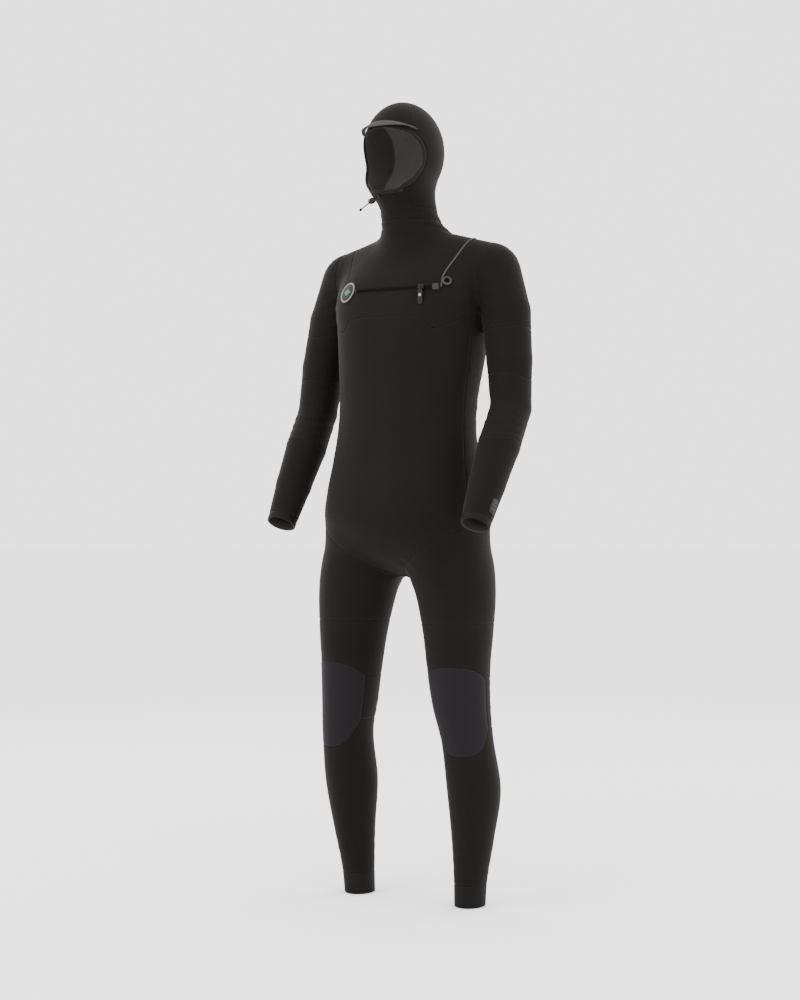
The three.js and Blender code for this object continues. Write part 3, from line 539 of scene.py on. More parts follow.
# ---- folds: soft ridges where the cloth gathers ----
folds = [  # middle, way across the ridges, spacing, reach, spread, depth
    {"at": (242, -32, 1010), "way": (0, 0.2, 1), "step": 19, "reach": 34, "spread": 42, "depth": 1.5},
    {"at": (170, -28, 1262), "way": (0.35, -0.2, 1), "step": 26, "reach": 46, "spread": 34, "depth": 1.7},
    {"at": (160, 95, 1262), "way": (0.35, 0.2, 1), "step": 26, "reach": 44, "spread": 36, "depth": 1.5},
    {"at": (140, 44, 418), "way": (0, 0.1, 1), "step": 24, "reach": 40, "spread": 46, "depth": 1.7},
    {"at": (128, -84, 512), "way": (0.15, 0, 1), "step": 30, "reach": 26, "spread": 60, "depth": 0.7},
    {"at": (60, -80, 726), "way": (0.62, 0, 1), "step": 26, "reach": 38, "spread": 46, "depth": 1.3},
    {"at": (70, 70, 700), "way": (0.3, 0, 1), "step": 30, "reach": 40, "spread": 60, "depth": 1.5},
    {"at": (40, -50, 1432), "way": (0, -0.2, 1), "step": 17, "reach": 26, "spread": 60, "depth": 0.9},
    {"at": (50, 40, 1424), "way": (0, 0.2, 1), "step": 19, "reach": 28, "spread": 60, "depth": 1.1},
    {"at": (138, 20, 95), "way": (0, 0, 1), "step": 26, "reach": 40, "spread": 60, "depth": 0.6},
    {"at": (0, 92, 985), "way": (0, 0, 1), "step": 44, "reach": 60, "spread": 110, "depth": 0.9},
    {"at": (168, 15, 1040), "way": (0.1, 0, 1), "step": 36, "reach": 60, "spread": 60, "depth": 0.8},
]


# Height of the folds: the sum of depth x wavy ridge x two bell curves, with x taken on both sides.
def foldHeight(p):
    q = p * [1, 1, 1]
    q[..., 0] = np.abs(q[..., 0])
    out = 0.35 * np.sin(p[..., 2] / 61 + p[..., 0] / 47) * np.sin(p[..., 0] / 53 + p[..., 1] / 41 + 1)
    for f in folds:
        d = q - f["at"]
        way = unit(np.array(f["way"], float))
        s = d @ way
        r = np.linalg.norm(d - s[..., None] * way, axis=-1)
        wobble = 2.2 * np.sin(p[..., 0] / 23 + p[..., 1] / 19 + p[..., 2] / 71)
        ridge = np.cos((s + wobble) * 2 * math.pi / f["step"])
        bell = np.exp(-((s / f["reach"]) ** 2) - (r / f["spread"]) ** 2)
        out = out + f["depth"] * ridge * bell
    return out


# ---- meshes ----
def putMesh(name, points, quads, values, material):
    mesh = bpy.data.meshes.new(name)
    quads = np.asarray(quads)
    mesh.vertices.add(len(points))
    mesh.vertices.foreach_set("co", points.astype(np.float32).ravel())
    mesh.loops.add(quads.size)
    mesh.loops.foreach_set("vertex_index", quads.astype(np.int32).ravel())
    mesh.polygons.add(len(quads))
    mesh.polygons.foreach_set("loop_start", np.arange(0, quads.size, 4, dtype=np.int32))
    mesh.update(calc_edges=True)
    for key, value in values.items():
        layer = mesh.attributes.new(key, "FLOAT", "POINT")
        layer.data.foreach_set("value", np.asarray(value, np.float32).ravel())
    mesh.polygons.foreach_set("use_smooth", np.ones(len(quads), bool))
    mesh.set_sharp_from_angle(angle=math.radians(48))
    mesh.materials.append(material)
    piece = bpy.data.objects.new(name, mesh)
    bpy.context.collection.objects.link(piece)
    return piece


def facesOut(points, quads):
    a, b, c, d = (points[quads[:, k]] for k in range(4))
    volume = (a * np.cross(b, c)).sum() + (a * np.cross(c, d)).sum()
    return quads if volume > 0 else quads[:, ::-1]


def runAlong(g, axis):
    step = np.linalg.norm(np.diff(g, axis=axis), axis=-1)
    zero = np.zeros_like(np.take(step, [0], axis=axis))
    return np.concatenate([zero, np.cumsum(step, axis=axis)], axis=axis)


panel = {
    "wall": 4.0,
    "gap": 0.2,
    "innerGap": 0.02,
    "innerRise": 0.8,  # how much of a fold's height the inner wall takes
    "fall": 0.95,
    "fallWidth": 1.7,
    "round": 1.5,
    "farthest": 60,
}


# A closed shell over a grid laid on the skin. The face falls away beside a seam by fall x a bell curve of
# the distance to it, and turns over to the inner wall by a quarter circle at a free edge.
def shellPiece(name, grid, field, material, closed=False, free="", out=0.0):
    g = np.asarray(grid, float)
    normal = unit(steepest(field, g))
    runU, runV = runAlong(g, 1), runAlong(g, 0)
    far = np.full(g.shape[:2], 1000.0)
    edges = {"s": runU, "e": runU[:, -1:] - runU, "a": runV, "b": runV[-1:] - runV}
    if closed:
        edges.pop("s")
        edges.pop("e")
    seamAway, freeAway = far, far
    for key, away in edges.items():
        if key in free:
            freeAway = np.minimum(freeAway, away)
        else:
            seamAway = np.minimum(seamAway, away)
    fall = panel["fall"] * np.exp(-((seamAway / panel["fallWidth"]) ** 2))
    r = panel["round"]
    over = np.where(freeAway < r, r - np.sqrt(np.maximum(r * r - (r - freeAway) ** 2, 0)), 0)
    rise = foldHeight(g)
    outer = g + normal * (out + rise - fall - over)[..., None]
    inner = g + normal * (out - panel["wall"] + rise * panel["innerRise"] + over)[..., None]
    for layer, gap in ((outer, panel["gap"]), (inner, panel["innerGap"])):
        if "a" not in free:
            layer[0] += unit(layer[1] - layer[0]) * gap
        if "b" not in free:
            layer[-1] += unit(layer[-2] - layer[-1]) * gap
        if not closed and "s" not in free:
            layer[:, 0] += unit(layer[:, 1] - layer[:, 0]) * gap
        if not closed and "e" not in free:
            layer[:, -1] += unit(layer[:, -2] - layer[:, -1]) * gap
    nv, nu = g.shape[:2]
    columns = nu - 1 if closed else nu  # a closed ring repeats its first column
    outer, inner = outer[:, :columns], inner[:, :columns]
    j, k = np.meshgrid(np.arange(nv - 1), np.arange(nu - 1), indexing="ij")
    corner = lambda jj, kk, layer: layer * nv * columns + jj * columns + kk % columns
    q0 = np.stack([corner(j, k, 0), corner(j, k + 1, 0), corner(j + 1, k + 1, 0), corner(j + 1, k, 0)], -1)
    q1 = np.stack([corner(j, k, 1), corner(j + 1, k, 1), corner(j + 1, k + 1, 1), corner(j, k + 1, 1)], -1)
    kk, jj = np.arange(nu - 1), np.arange(nv - 1)
    first = np.stack([corner(0, kk, 0), corner(0, kk, 1), corner(0, kk + 1, 1), corner(0, kk + 1, 0)], -1)
    last = np.stack([corner(nv - 1, kk, 0), corner(nv - 1, kk + 1, 0),
                     corner(nv - 1, kk + 1, 1), corner(nv - 1, kk, 1)], -1)
    parts = [q0.reshape(-1, 4), q1.reshape(-1, 4), first, last]
    if not closed:
        e = nu - 1
        startWall = [corner(jj, 0, 0), corner(jj + 1, 0, 0), corner(jj + 1, 0, 1), corner(jj, 0, 1)]
        endWall = [corner(jj, e, 0), corner(jj, e, 1), corner(jj + 1, e, 1), corner(jj + 1, e, 0)]
        parts += [np.stack(startWall, -1), np.stack(endWall, -1)]
    points = toFrame(np.concatenate([outer.reshape(-1, 3), inner.reshape(-1, 3)]))
    quads = facesOut(points, np.concatenate(parts))
    both = lambda a: np.concatenate([a[:, :columns].ravel()] * 2)
    away = np.minimum(seamAway, panel["farthest"])
    nearV = np.minimum(edges["a"], edges["b"])
    nearU = far if closed else np.minimum(edges["s"], edges["e"])
    values = {
        "seamAway": both(away),
        "seamRun": both(np.where(nearV < nearU, runU, runV)),
        "inner": np.concatenate([np.zeros(nv * columns), np.ones(nv * columns)]),
        "clothU": both(runU) / 1000,
        "clothV": both(runV) / 1000,
    }
    piece = putMesh(name, points, quads, values, material)
    piece["area"] = float(areaOf(g)) / 1e6
    piece["flat"] = [float(runU[:, -1].mean()) / 1000, float(runV[-1].mean()) / 1000]
    return piece


def areaOf(g):
    a, b, c, d = g[:-1, :-1], g[:-1, 1:], g[1:, 1:], g[1:, :-1]
    half = lambda p, q, r: np.linalg.norm(np.cross(q - p, r - p), axis=-1) / 2
    return (half(a, b, c) + half(a, c, d)).sum()


def between(field, low, high, shares):
    rows = low[None] * (1 - shares[:, None, None]) + high[None] * shares[:, None, None]
    inner = lay(field, rows[1:-1])
    return np.concatenate([rows[:1], inner, rows[-1:]])


def chain(field, rings, step=6.0):
    rows = [rings[0][None]]
    for low, high in zip(rings[:-1], rings[1:]):
        length = np.linalg.norm(high - low, axis=-1).mean()
        rows.append(between(field, low, high, spaced(length, step))[1:])
    return np.concatenate(rows)


def meanRun(a, b):
    return float(np.linalg.norm(a - b, axis=-1).mean())


def panelRows(field, low, high, step=6.0):
    return between(field, low, high, spaced(meanRun(low, high), step))


# A panel's area as a share of its flat oblong, and the least side of that oblong in metres.
flatShare = {"least": 0.32, "most": 0.999, "side": 0.012}


def dress(piece, node, place):
    flat = tuple(max(side, flatShare["side"]) for side in piece["flat"])
    whole = flat[0] * flat[1]
    area = max(min(piece["area"], whole * flatShare["most"]), whole * flatShare["least"])
    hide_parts(node)
    if isinstance(place, str):
        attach(piece, place)
    else:
        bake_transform(piece)
    del piece["flat"], piece["area"]


# Joints under the cloth: bodies, then where the bend starts and ends. A piece given one is only baked in
# place.
def bend(a, b, start, end):
    return (a, b, tuple(toFrame(start)), tuple(toFrame(end)))


def bends(side, g):
    return {
        "shoulder": bend("torso", f"upper_arm_{side}", (172 * g, 37, 1204), (224 * g, 37, 1179)),
        "elbow": bend(f"upper_arm_{side}", f"forearm_{side}", (236 * g, 10, 1103), (240 * g, -62, 945)),
        "hip": bend("torso", f"thigh_{side}", (94 * g, -12, 760), (153 * g, -12, 665)),
        "knee": bend(f"thigh_{side}", f"shin_{side}", (134 * g, -22, 515), (147 * g, -10, 325)),
    }


neckBend = bend("torso", "hood", (0, 0, 1442), (0, 0, 1465))


# ---- seams of the trunk ----
up = np.array([0, 0, 1.0])
down = np.array([0, 0, -1.0])


def armholeAt(k):
    return ringAt(wholeField, (177, 37, 1326), (-1, 0, 0.04), down, np.asarray(k) / 12)


crotchPoint = lay(trunkField, np.array([[0, -11, 708.0]]), 12)[0]
legSlope = 0.62


def legLineAt(k):
    mid = (92, -11, crotchPoint[2] - 2 + 92 * legSlope)
    return ringAt(trunkField, mid, (-legSlope, 0, 1), (-1, 0, -legSlope), np.asarray(k) / 12)


def ringDegrees(mid, degrees):
    a = np.radians(degrees)
    return ringAt(trunkField, mid, up, (0, -1, 0), np.asarray(a) / (2 * math.pi))


collarMid = (0, 8, body["collar"])
jawMid = (0, -4, body["jaw"])
shoulderAngle = 98
flapInner = ringDegrees(collarMid, np.array([shoulderAngle]))
flapTop = lay(wholeField, 0.3 * flapInner + 0.7 * armholeAt(np.array([6])), 12)
flapSidePoints = [flapTop[0], (134, -22, 1366), (125, -70, 1326), (122, -76, 1290)]
zipLinePoints = [(122, -76, 1290), (60, -92, 1290), (0, -95, 1290), (-60, -92, 1290), (-122, -76, 1290)]
chestHalf = [(117, -84, 1205), (88, -96, 1227), (58, -98, 1233), (30, -104, 1233), (10, -106, 1233)]
backHalf = [(128, 90, 1225), (98, 118, 1221), (68, 132, 1219), (38, 138, 1219), (12, 140, 1219)]


def flapEdgeAt(s):
    side = lambda t: along(flapSidePoints, t / 5)
    lower = along(zipLinePoints, np.clip((s - 5) / 11, 0, 1))
    out = np.where((s <= 5)[:, None], side(np.clip(s, 0, 5)), lower)
    out = np.where((s >= 16)[:, None], mirror(side(np.clip(21 - s, 0, 5))), out)
    return lay(wholeField, out)


def seamAcross(halfPoints, hour, s):
    half = lay(trunkField, np.array(halfPoints, float), 12)
    end = armholeAt(np.array([hour]))
    points = np.concatenate([end, half, mirror(half)[::-1], mirror(end)])
    return lay(trunkField, atIndex(points, s))


def chestSeamAt(s):
    return seamAcross(chestHalf, 1, s)


def backSeamAt(s):
    return seamAcross(backHalf, 11, s)


# From the shoulder line: along the armhole, across the seam, and up the other armhole.
def outerAt(s, seamAt, turn):
    hole = lambda t: armholeAt(6 + turn * np.clip(t, 0, 5))
    out = np.where((s <= 5)[:, None], hole(s), seamAt(np.clip(s - 5, 0, 11)))
    return np.where((s >= 16)[:, None], mirror(hole(21 - s)), out)


def legCross(s, turn):
    k = np.where(s <= 5, 6 + turn * (1 + np.clip(s, 0, 5)), 6 + turn * (1 + np.clip(11 - s, 0, 5)))
    k = np.where((s <= 5) | (s >= 6), k, 6 + turn * 6)
    left = legLineAt(k)
    share = np.clip(s - 5, 0, 1)[:, None]
    return left * (1 - share) + mirror(left) * share


# Columns close together at the given stops, where seams meet.
def columns(stops, lengths, step=6.0):
    out = [np.array([stops[0]], float)]
    for low, high, length in zip(stops[:-1], stops[1:], lengths):
        out.append(low + (high - low) * spaced(length, step)[1:])
    return np.concatenate(out)


def makeTrunk():
    across = columns([0, 11], [330])
    front = panelRows(trunkField, chestSeamAt(across), legCross(across, -1), 6.5)
    dress(shellPiece("frontTorso", front, trunkField, jersey), "front_torso_panel", "torso")
    back = panelRows(trunkField, backSeamAt(across), legCross(across, 1), 6.5)
    dress(shellPiece("backTorso", back, trunkField, jersey), "back_torso_panel", "torso")
    over = columns([0, 5, 16, 21], [140, 240, 140])
    collar = ringDegrees(collarMid, shoulderAngle - 2 * shoulderAngle * over / 21)
    edge = flapEdgeAt(over)
    flap = panelRows(wholeField, collar, edge, 5)
    dress(shellPiece("chestFlap", flap, wholeField, jersey), "chest_flap", "torso")
    chest = panelRows(wholeField, edge, outerAt(over, chestSeamAt, -1), 5)
    dress(shellPiece("chestPanel", chest, wholeField, jersey), "chest_panel", "torso")
    nape = ringDegrees(collarMid, shoulderAngle + (360 - 2 * shoulderAngle) * over / 21)
    yoke = panelRows(wholeField, nape, outerAt(over, backSeamAt, 1), 6)
    dress(shellPiece("backYoke", yoke, wholeField, jersey), "back_yoke", "torso")
    strip = columns([0, 2], [70])
    side = panelRows(trunkField, armholeAt(1 - strip), legLineAt(5 + strip), 6.5)
    for name, rows in (("left", side), ("right", mirror(side))):
        piece = shellPiece(f"sidePanel_{name}", rows, trunkField, jersey)
        dress(piece, f"side_panel_{name}", "torso")


def armRing(k, toward, axis, turns):
    mid = armLine[k, :3] * (1 - toward) + armLine[k + 1, :3] * toward
    return ringAt(armField, mid, axis, (-1, 0, 0), turns)


def armAxis(k):
    return armLine[k, :3] - armLine[k + 1, :3]


def makeSleeves():
    turns = np.linspace(0, 1, 61)
    start = armholeAt(12 * turns)
    upper = armRing(1, 0.4, armAxis(1), turns)
    elbowTop = armRing(2, 0.3, armAxis(2), turns)
    # the seam under the elbow rises in a V on the outer side
    point = np.exp(-(((turns - 0.5) / 0.16) ** 2))[:, None]
    elbowTop = lay(armField, elbowTop - point * unit(armAxis(2)) * 16)
    elbowMid = armRing(3, 0, (0, 0.3, 0.95), turns)
    forearm = armRing(4, 0.05, armAxis(4), turns)
    forearm = lay(armField, forearm + point * unit(armAxis(4)) * 14)
    forearmMid = armRing(5, 0, armAxis(5), turns)
    cuff = armRing(5, 0.85, armAxis(5), turns)
    end = armRing(6, 0.02, armAxis(6), turns)
    elbow = throughRings(armField, [elbowTop, elbowMid, forearm])
    lowerSleeve = throughRings(armField, [forearm, forearmMid, cuff])
    rows = {
        "shoulderPanel": (chain(wholeField, [start, upper]), wholeField, jersey, "black_jersey"),
        "upperSleeve": (chain(armField, [upper, elbowTop]), armField, jersey, "black_jersey"),
        "elbowPanel": (elbow, armField, elbowCloth, "abrasion_fabric"),
        "forearmSleeve": (lowerSleeve, armField, jersey, "black_jersey"),
        "wristSeal": (chain(armField, [cuff, end], 3), armField, cuffRubber, "smooth_neoprene"),
    }
    nodes = dict(zip(rows, ["shoulder_panel", "upper_sleeve", "elbow_panel", "forearm_sleeve", "wrist_seal"]))
    for side, g in (("left", 1), ("right", -1)):
        where = bends(side, g)
        place = {
            "shoulderPanel": where["shoulder"],
            "upperSleeve": where["shoulder"],
            "elbowPanel": where["elbow"],
            "forearmSleeve": where["elbow"],
            "wristSeal": f"forearm_{side}",
        }
        for name, (grid, field, material, slotName) in rows.items():
            free = "b" if name == "wristSeal" else ""
            grid = grid if g > 0 else mirror(grid)
            piece = shellPiece(f"{name}_{side}", grid, field, material, closed=True, free=free)
            dress(piece, f"{nodes[name]}_{side}", place[name])


# Rows through several rings, read smoothly, with seam spacing only at the first and last ring.
def throughRings(field, rings, step=6.0):
    rings = np.array(rings)
    length = sum(meanRun(a, b) for a, b in zip(rings[:-1], rings[1:]))
    share = spaced(length, step)
    knots = np.concatenate([[0], np.cumsum([meanRun(a, b) for a, b in zip(rings[:-1], rings[1:])])])
    s = np.interp(share * knots[-1], knots, np.arange(len(rings)))
    grid = atIndex(rings, s)
    return np.concatenate([grid[:1], lay(field, grid[1:-1]), grid[-1:]])


def legRing(height, turns, field=legField):
    x, y = smoothRows(np.array([height]), legRows)[:2, 0]
    return ringAt(field, (x, y, height), up, (-1, 0, 0), turns)


knee = {"top": 507, "topDrop": 30, "foot": 321, "footRise": 58}


# The knee pad's upper and lower seams: level at the front, bending towards each other at the sides.
def kneeLine(turns, high):
    t = np.clip(np.abs((12 * turns - 3.5) / 2.5), 0, 1)
    bow = t**2.6
    heights = knee["top"] - knee["topDrop"] * bow if high else knee["foot"] + knee["footRise"] * bow
    points = legRing(knee["top"] if high else knee["foot"], turns)
    points[:, 2] = heights
    cx, cy = smoothRows(heights, legRows)[:2]
    mid = np.stack([cx, cy, heights], -1)
    ray = np.stack([-np.cos(2 * math.pi * turns), -np.sin(2 * math.pi * turns), np.zeros_like(turns)], -1)
    return lay(legField, mid + ray * 60)


def makeLegs():
    turns = np.linspace(0, 1, 73)
    hipRing = legRing(594, turns, trunkField)
    top, foot = kneeLine(turns, True), kneeLine(turns, False)
    calf, shin, ankle, end = (legRing(h, turns) for h in (243, 150, 46, 0))
    padTurns = (1 + 5 * spaced(220, 6)) / 12
    backTurns = (6 + 7 * spaced(270, 7)) / 12
    padRows = [kneeLine(padTurns, True), legRing(416, padTurns), kneeLine(padTurns, False)]
    wrapped = backTurns % 1
    backRows = [kneeLine(wrapped, True), legRing(422, wrapped), kneeLine(wrapped, False)]
    hip = between(trunkField, legLineAt(12 * turns), hipRing, spaced(160, 6))
    rows = {
        "hipPanel": (hip, trunkField, jersey, "black_jersey"),
        "thighPanel": (chain(trunkField, [hipRing, top]), trunkField, jersey, "black_jersey"),
        "kneePad": (throughRings(legField, padRows), legField, kneeCloth, "abrasion_fabric"),
        "kneeBack": (throughRings(legField, backRows), legField, jersey, "black_jersey"),
        "calfPanel": (throughRings(legField, [foot, calf, shin, ankle]), legField, jersey, "black_jersey"),
        "ankleSeal": (chain(legField, [ankle, end], 4), legField, cuffRubber, "smooth_neoprene"),
    }
    names = ["hip_panel", "thigh_panel", "knee_pad", "knee_back_panel", "calf_panel", "ankle_seal"]
    nodes = dict(zip(rows, names))
    for side, g in (("left", 1), ("right", -1)):
        where = bends(side, g)
        place = {
            "hipPanel": where["hip"],
            "thighPanel": where["knee"],
            "kneePad": where["knee"],
            "kneeBack": where["knee"],
            "calfPanel": where["knee"],
            "ankleSeal": f"shin_{side}",
        }
        for name, (grid, field, material, slotName) in rows.items():
            free = "b" if name == "ankleSeal" else ""
            grid = grid if g > 0 else mirror(grid)
            closed = name not in ("kneePad", "kneeBack")
            lift = 0.7 if name == "kneePad" else 0.0
            piece = shellPiece(f"{name}_{side}", grid, field, material, closed=closed, free=free, out=lift)
            dress(piece, f"{nodes[name]}_{side}", place[name])


makeTrunk()
print("trunk made")
makeSleeves()
print("sleeves made")
makeLegs()
print("legs made")


# ---- hood ----
hood = {"chinAngle": 42, "napeAngle": 138}
hoodPoints = [
    [(46, -100, 1481), (70, -45, 1493), (66, 15, 1500), (42, 50, 1505)],
    [(69, -74, 1516), (80, -25, 1530), (66, 32, 1543), (45, 62, 1550)],
    [(76, -54, 1556), (80, -22, 1582), (68, 28, 1598), (47, 64, 1600)],
    [(72, -62, 1592), (78, -25, 1622), (66, 15, 1642), (48, 52, 1640)],
    [(60, -86, 1620), (54, -58, 1664), (50, -18, 1681), (48, 22, 1672)],
]
chinTop = [(46, -100, 1481), (24, -110, 1475), (0, -114, 1473), (-24, -110, 1475), (-46, -100, 1481)]


def hoodSide(u, w):
    turn = hood["chinAngle"] + (hood["napeAngle"] - hood["chinAngle"]) * u
    rows = [ringDegrees(jawMid, turn)] + [lay(trunkField, along(p, u)) for p in hoodPoints]
    grid = atIndex(np.array(rows), w)
    return np.concatenate([grid[:1], lay(trunkField, grid[1:])])


def makeHood():
    u = spaced(150, 4.5)
    w = 5 * spaced(240, 4.5)
    w = np.sort(np.append(w, 1.0))
    side = hoodSide(u, w)
    edge = np.concatenate([side[-1], side[-2::-1, -1]])
    middle = edge.copy()
    middle[:, 0] = 0
    middle[:, 1] += (edge[:, 1] + 24) * 0.22
    middle[:, 2] += 6 * np.clip((edge[:, 2] - body["jaw"]) / 30, 0, 1)
    middle = lay(trunkField, middle, 8)
    middle[-1] = ringDegrees(jawMid, np.array([180.0]))[0]
    shares = np.concatenate([[0, 0.01, 0.025, 0.05, 0.08], np.linspace(0.13, 1, 10)])
    half = between(trunkField, edge, middle, shares)
    band = np.concatenate([half, mirror(half[:-1])[::-1]])
    chinFoot = ringDegrees(jawMid, np.linspace(hood["chinAngle"], -hood["chinAngle"], 25))
    lip = lay(trunkField, along(chinTop, np.linspace(0, 1, 25)))
    rim = side[w >= 1.0 - 1e-9][:, 0]
    lip[0], lip[-1] = rim[0], mirror(rim[0])
    chin = between(trunkField, chinFoot, lip, spaced(20, 4, (0.5, 1.2, 2.2)))
    edgeLine = side[w <= 1.0 + 1e-9][:, 0]
    runs = np.linspace(0, 1, len(edgeLine))
    rows = np.linspace(0, 1, len(chin))
    exact = np.stack([np.interp(rows, runs, edgeLine[:, c]) for c in range(3)], -1)
    near = np.clip(1 - np.linspace(0, 6, 25), 0, 1)[None, :, None]
    chin = chin + (exact - chin[:, 0])[:, None] * near
    chin = chin + (mirror(exact) - chin[:, -1])[:, None] * near[:, ::-1]
    cloths = [
        ("hoodSide_left", side, "hood_side_left", "s"),
        ("hoodSide_right", mirror(side), "hood_side_right", "s"),
        ("hoodBand", band, "hood_middle_band", "s"),
        ("chinPanel", chin, "chin_panel", "b"),
    ]
    for name, grid, node, free in cloths:
        piece = shellPiece(name, grid, trunkField, hoodJersey, free=free)
        dress(piece, node, "hood")
    turns = np.linspace(0, 1, 91)
    neckRings = [ringAt(trunkField, mid, up, (0, -1, 0), turns) for mid in (collarMid, jawMid)]
    neck = chain(trunkField, neckRings, 3)
    piece = shellPiece("neckPanel", neck, trunkField, jersey, closed=True)
    dress(piece, "neck_panel", neckBend)
    brow = band[:, 0]
    loop = np.concatenate([rim[:-1], brow[:-1], mirror(rim)[::-1][:-1], lip[::-1][:-1]])
    return loop


faceMid = np.array([0, -70, 1548.0])


# A tube of one section carried round a closed or open path. section gives (side, out) pairs in millimetres.
def sweepPiece(name, path, side, out, section, material, closed):
    n = len(path)
    widths = section if section.ndim == 3 else np.repeat(section[None], n, 0)
    rings = path[:, None] + side[:, None] * widths[..., :1] + out[:, None] * widths[..., 1:]
    m = rings.shape[1]
    spans = n if closed else n - 1
    j, k = np.meshgrid(np.arange(spans), np.arange(m), indexing="ij")
    at = lambda jj, kk: (jj % n) * m + kk % m
    quads = np.stack([at(j, k), at(j, k + 1), at(j + 1, k + 1), at(j + 1, k)], -1).reshape(-1, 4)
    points = rings.reshape(-1, 3)
    if not closed:  # each end closes on its own middle, as thin quads in pairs
        ends = []
        for row in (0, n - 1):
            half = m // 2
            a = row * m + np.arange(half)
            b = row * m + (m - 1 - np.arange(half))
            corners = [a[:-1], b[:-1], b[1:], a[1:]] if row else [a[:-1], a[1:], b[1:], b[:-1]]
            ends.append(np.stack(corners, -1))
        quads = np.concatenate([quads, *ends])
    run = np.concatenate([[0], np.cumsum(np.linalg.norm(np.diff(path, axis=0), axis=1))])
    girth = np.linalg.norm(widths - np.roll(widths, 1, axis=1), axis=-1).cumsum(1)
    values = {
        "clothU": np.repeat(run, m) / 1000,
        "clothV": girth.ravel() / 1000,
        "seamAway": np.full(n * m, 30.0),
        "seamRun": np.repeat(run, m),
        "inner": np.zeros(n * m),
    }
    points = toFrame(points)
    return putMesh(name, points, facesOut(points, quads), values, material)


# A rounded oblong: half sizes a and b, raised to a power for its corners, an even number of points.
def oblong(a, b, count=16, power=0.6):
    t = 2 * math.pi * (np.arange(count) + 0.5) / count
    c, s = np.cos(t), np.sin(t)
    return np.stack([a * np.sign(c) * np.abs(c) ** power, b * np.sign(s) * np.abs(s) ** power], -1)


def evenLoop(loop, step=3.0):
    closed = np.concatenate([loop, loop[:1]])
    run = np.concatenate([[0], np.cumsum(np.linalg.norm(np.diff(closed, axis=0), axis=1))])
    want = np.linspace(0, run[-1], int(run[-1] / step), endpoint=False)
    even = np.stack([np.interp(want, run, closed[:, c]) for c in range(3)], -1)
    for _ in range(3):
        even = (np.roll(even, 1, 0) + even * 2 + np.roll(even, -1, 0)) / 4
    return lay(trunkField, even)


seal = {"width": 9.6, "thick": 5.0, "set": 1.0}


def makeSeal(loop):
    path = evenLoop(loop)
    out = unit(steepest(trunkField, path))
    inward = faceMid - path
    inward = unit(inward - (inward * out).sum(-1, keepdims=True) * out)
    centre = path + inward * (seal["set"] + seal["width"] / 2) - out * 1.4
    section = oblong(seal["width"] / 2, seal["thick"] / 2, 16, 0.7)
    piece = sweepPiece("faceSeal", centre, inward, out, section, rimBinding, True)
    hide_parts("face_seal")
    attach(piece, "hood")


visorPoints = [(65, -77, 1621), (42, -101, 1630), (0, -113, 1634), (-42, -101, 1630), (-65, -77, 1621)]
visor = {"off": 1.4, "deep": 15.5, "tip": 3.5, "thick": 3.2, "droop": 13.0, "rise": 5.0}


# The brim: a crescent. share = the sine of the half turn along the hood's front.
# Depth = tip + (deep - tip) x share to the power 0.8.
# Its front falls by droop x share squared, and all of it rises by rise x share.
def makeVisor():
    line = lay(trunkField, along(visorPoints, np.linspace(0, 1, 61)))
    out = steepest(trunkField, line)
    out[:, 2] = 0
    out = unit(out)
    share = np.sin(math.pi * np.linspace(0, 1, 61))
    depth = visor["tip"] + (visor["deep"] - visor["tip"]) * share ** 0.8
    lower = np.stack([np.zeros(61), np.zeros(61), -visor["droop"] * share**2], -1)
    reach = out * depth[:, None] + lower
    way = unit(reach)
    long = np.linalg.norm(reach, axis=-1)
    lift = np.stack([0 * share, 0 * share, visor["rise"] * share - 1.5], -1)
    centre = line + out * visor["off"] + reach / 2 + lift
    slim = np.clip(share * 6, 0.25, 1)
    section = oblong(1, 1, 20, 0.55)[None] * np.stack([long / 2, visor["thick"] / 2 * slim], -1)[:, None]
    normal = np.cross(way, unit(np.gradient(line, axis=0)))
    piece = sweepPiece("brim", centre, way, unit(normal), section, brimCloth, False)
    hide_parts("visor")
    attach(piece, "brim")


faceLoop = makeHood()
makeSeal(faceLoop)
makeVisor()
print("hood made")


# ---- flap piping ----
def pipingPiece(name, points, material, width, tall, lift):
    path = lay(wholeField, points)
    out = unit(steepest(wholeField, path))
    side = unit(np.cross(unit(np.gradient(path, axis=0)), out))
    path = path + out * (lift + foldHeight(path)[:, None])
    return sweepPiece(name, path, side, out, oblong(width / 2, tall / 2, 12, 0.75), material, False)


def makePiping():
    s = np.linspace(0.05, 5.0, 60)
    line = flapEdgeAt(s)
    piece = pipingPiece("flapPiping", line, paleBinding, 3.6, 2.4, 0.9)
    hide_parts("flap_piping_left")
    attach(piece, "torso")


makePiping()
print("piping made")


# ---- small solids ----
# Joins stacks of rings, shaped (solids, rings, points, 3), into closed solids; each end closes across itself.
def loft(stacks):
    count, n, m = stacks.shape[:3]
    j, k = np.meshgrid(np.arange(n - 1), np.arange(m), indexing="ij")
    low, high, after = j * m, (j + 1) * m, (k + 1) % m
    side = np.stack([low + k, low + after, high + after, high + k], -1).reshape(-1, 4)
    i = np.arange(m // 2 - 1)
    foot = np.stack([i, m - 1 - i, m - 2 - i, i + 1], -1)
    top = np.stack([i, i + 1, m - 2 - i, m - 1 - i], -1) + (n - 1) * m
    one = np.concatenate([side, foot, top])
    quads = (one[None] + (np.arange(count) * n * m)[:, None, None]).reshape(-1, 4)
    return stacks.reshape(-1, 3), quads


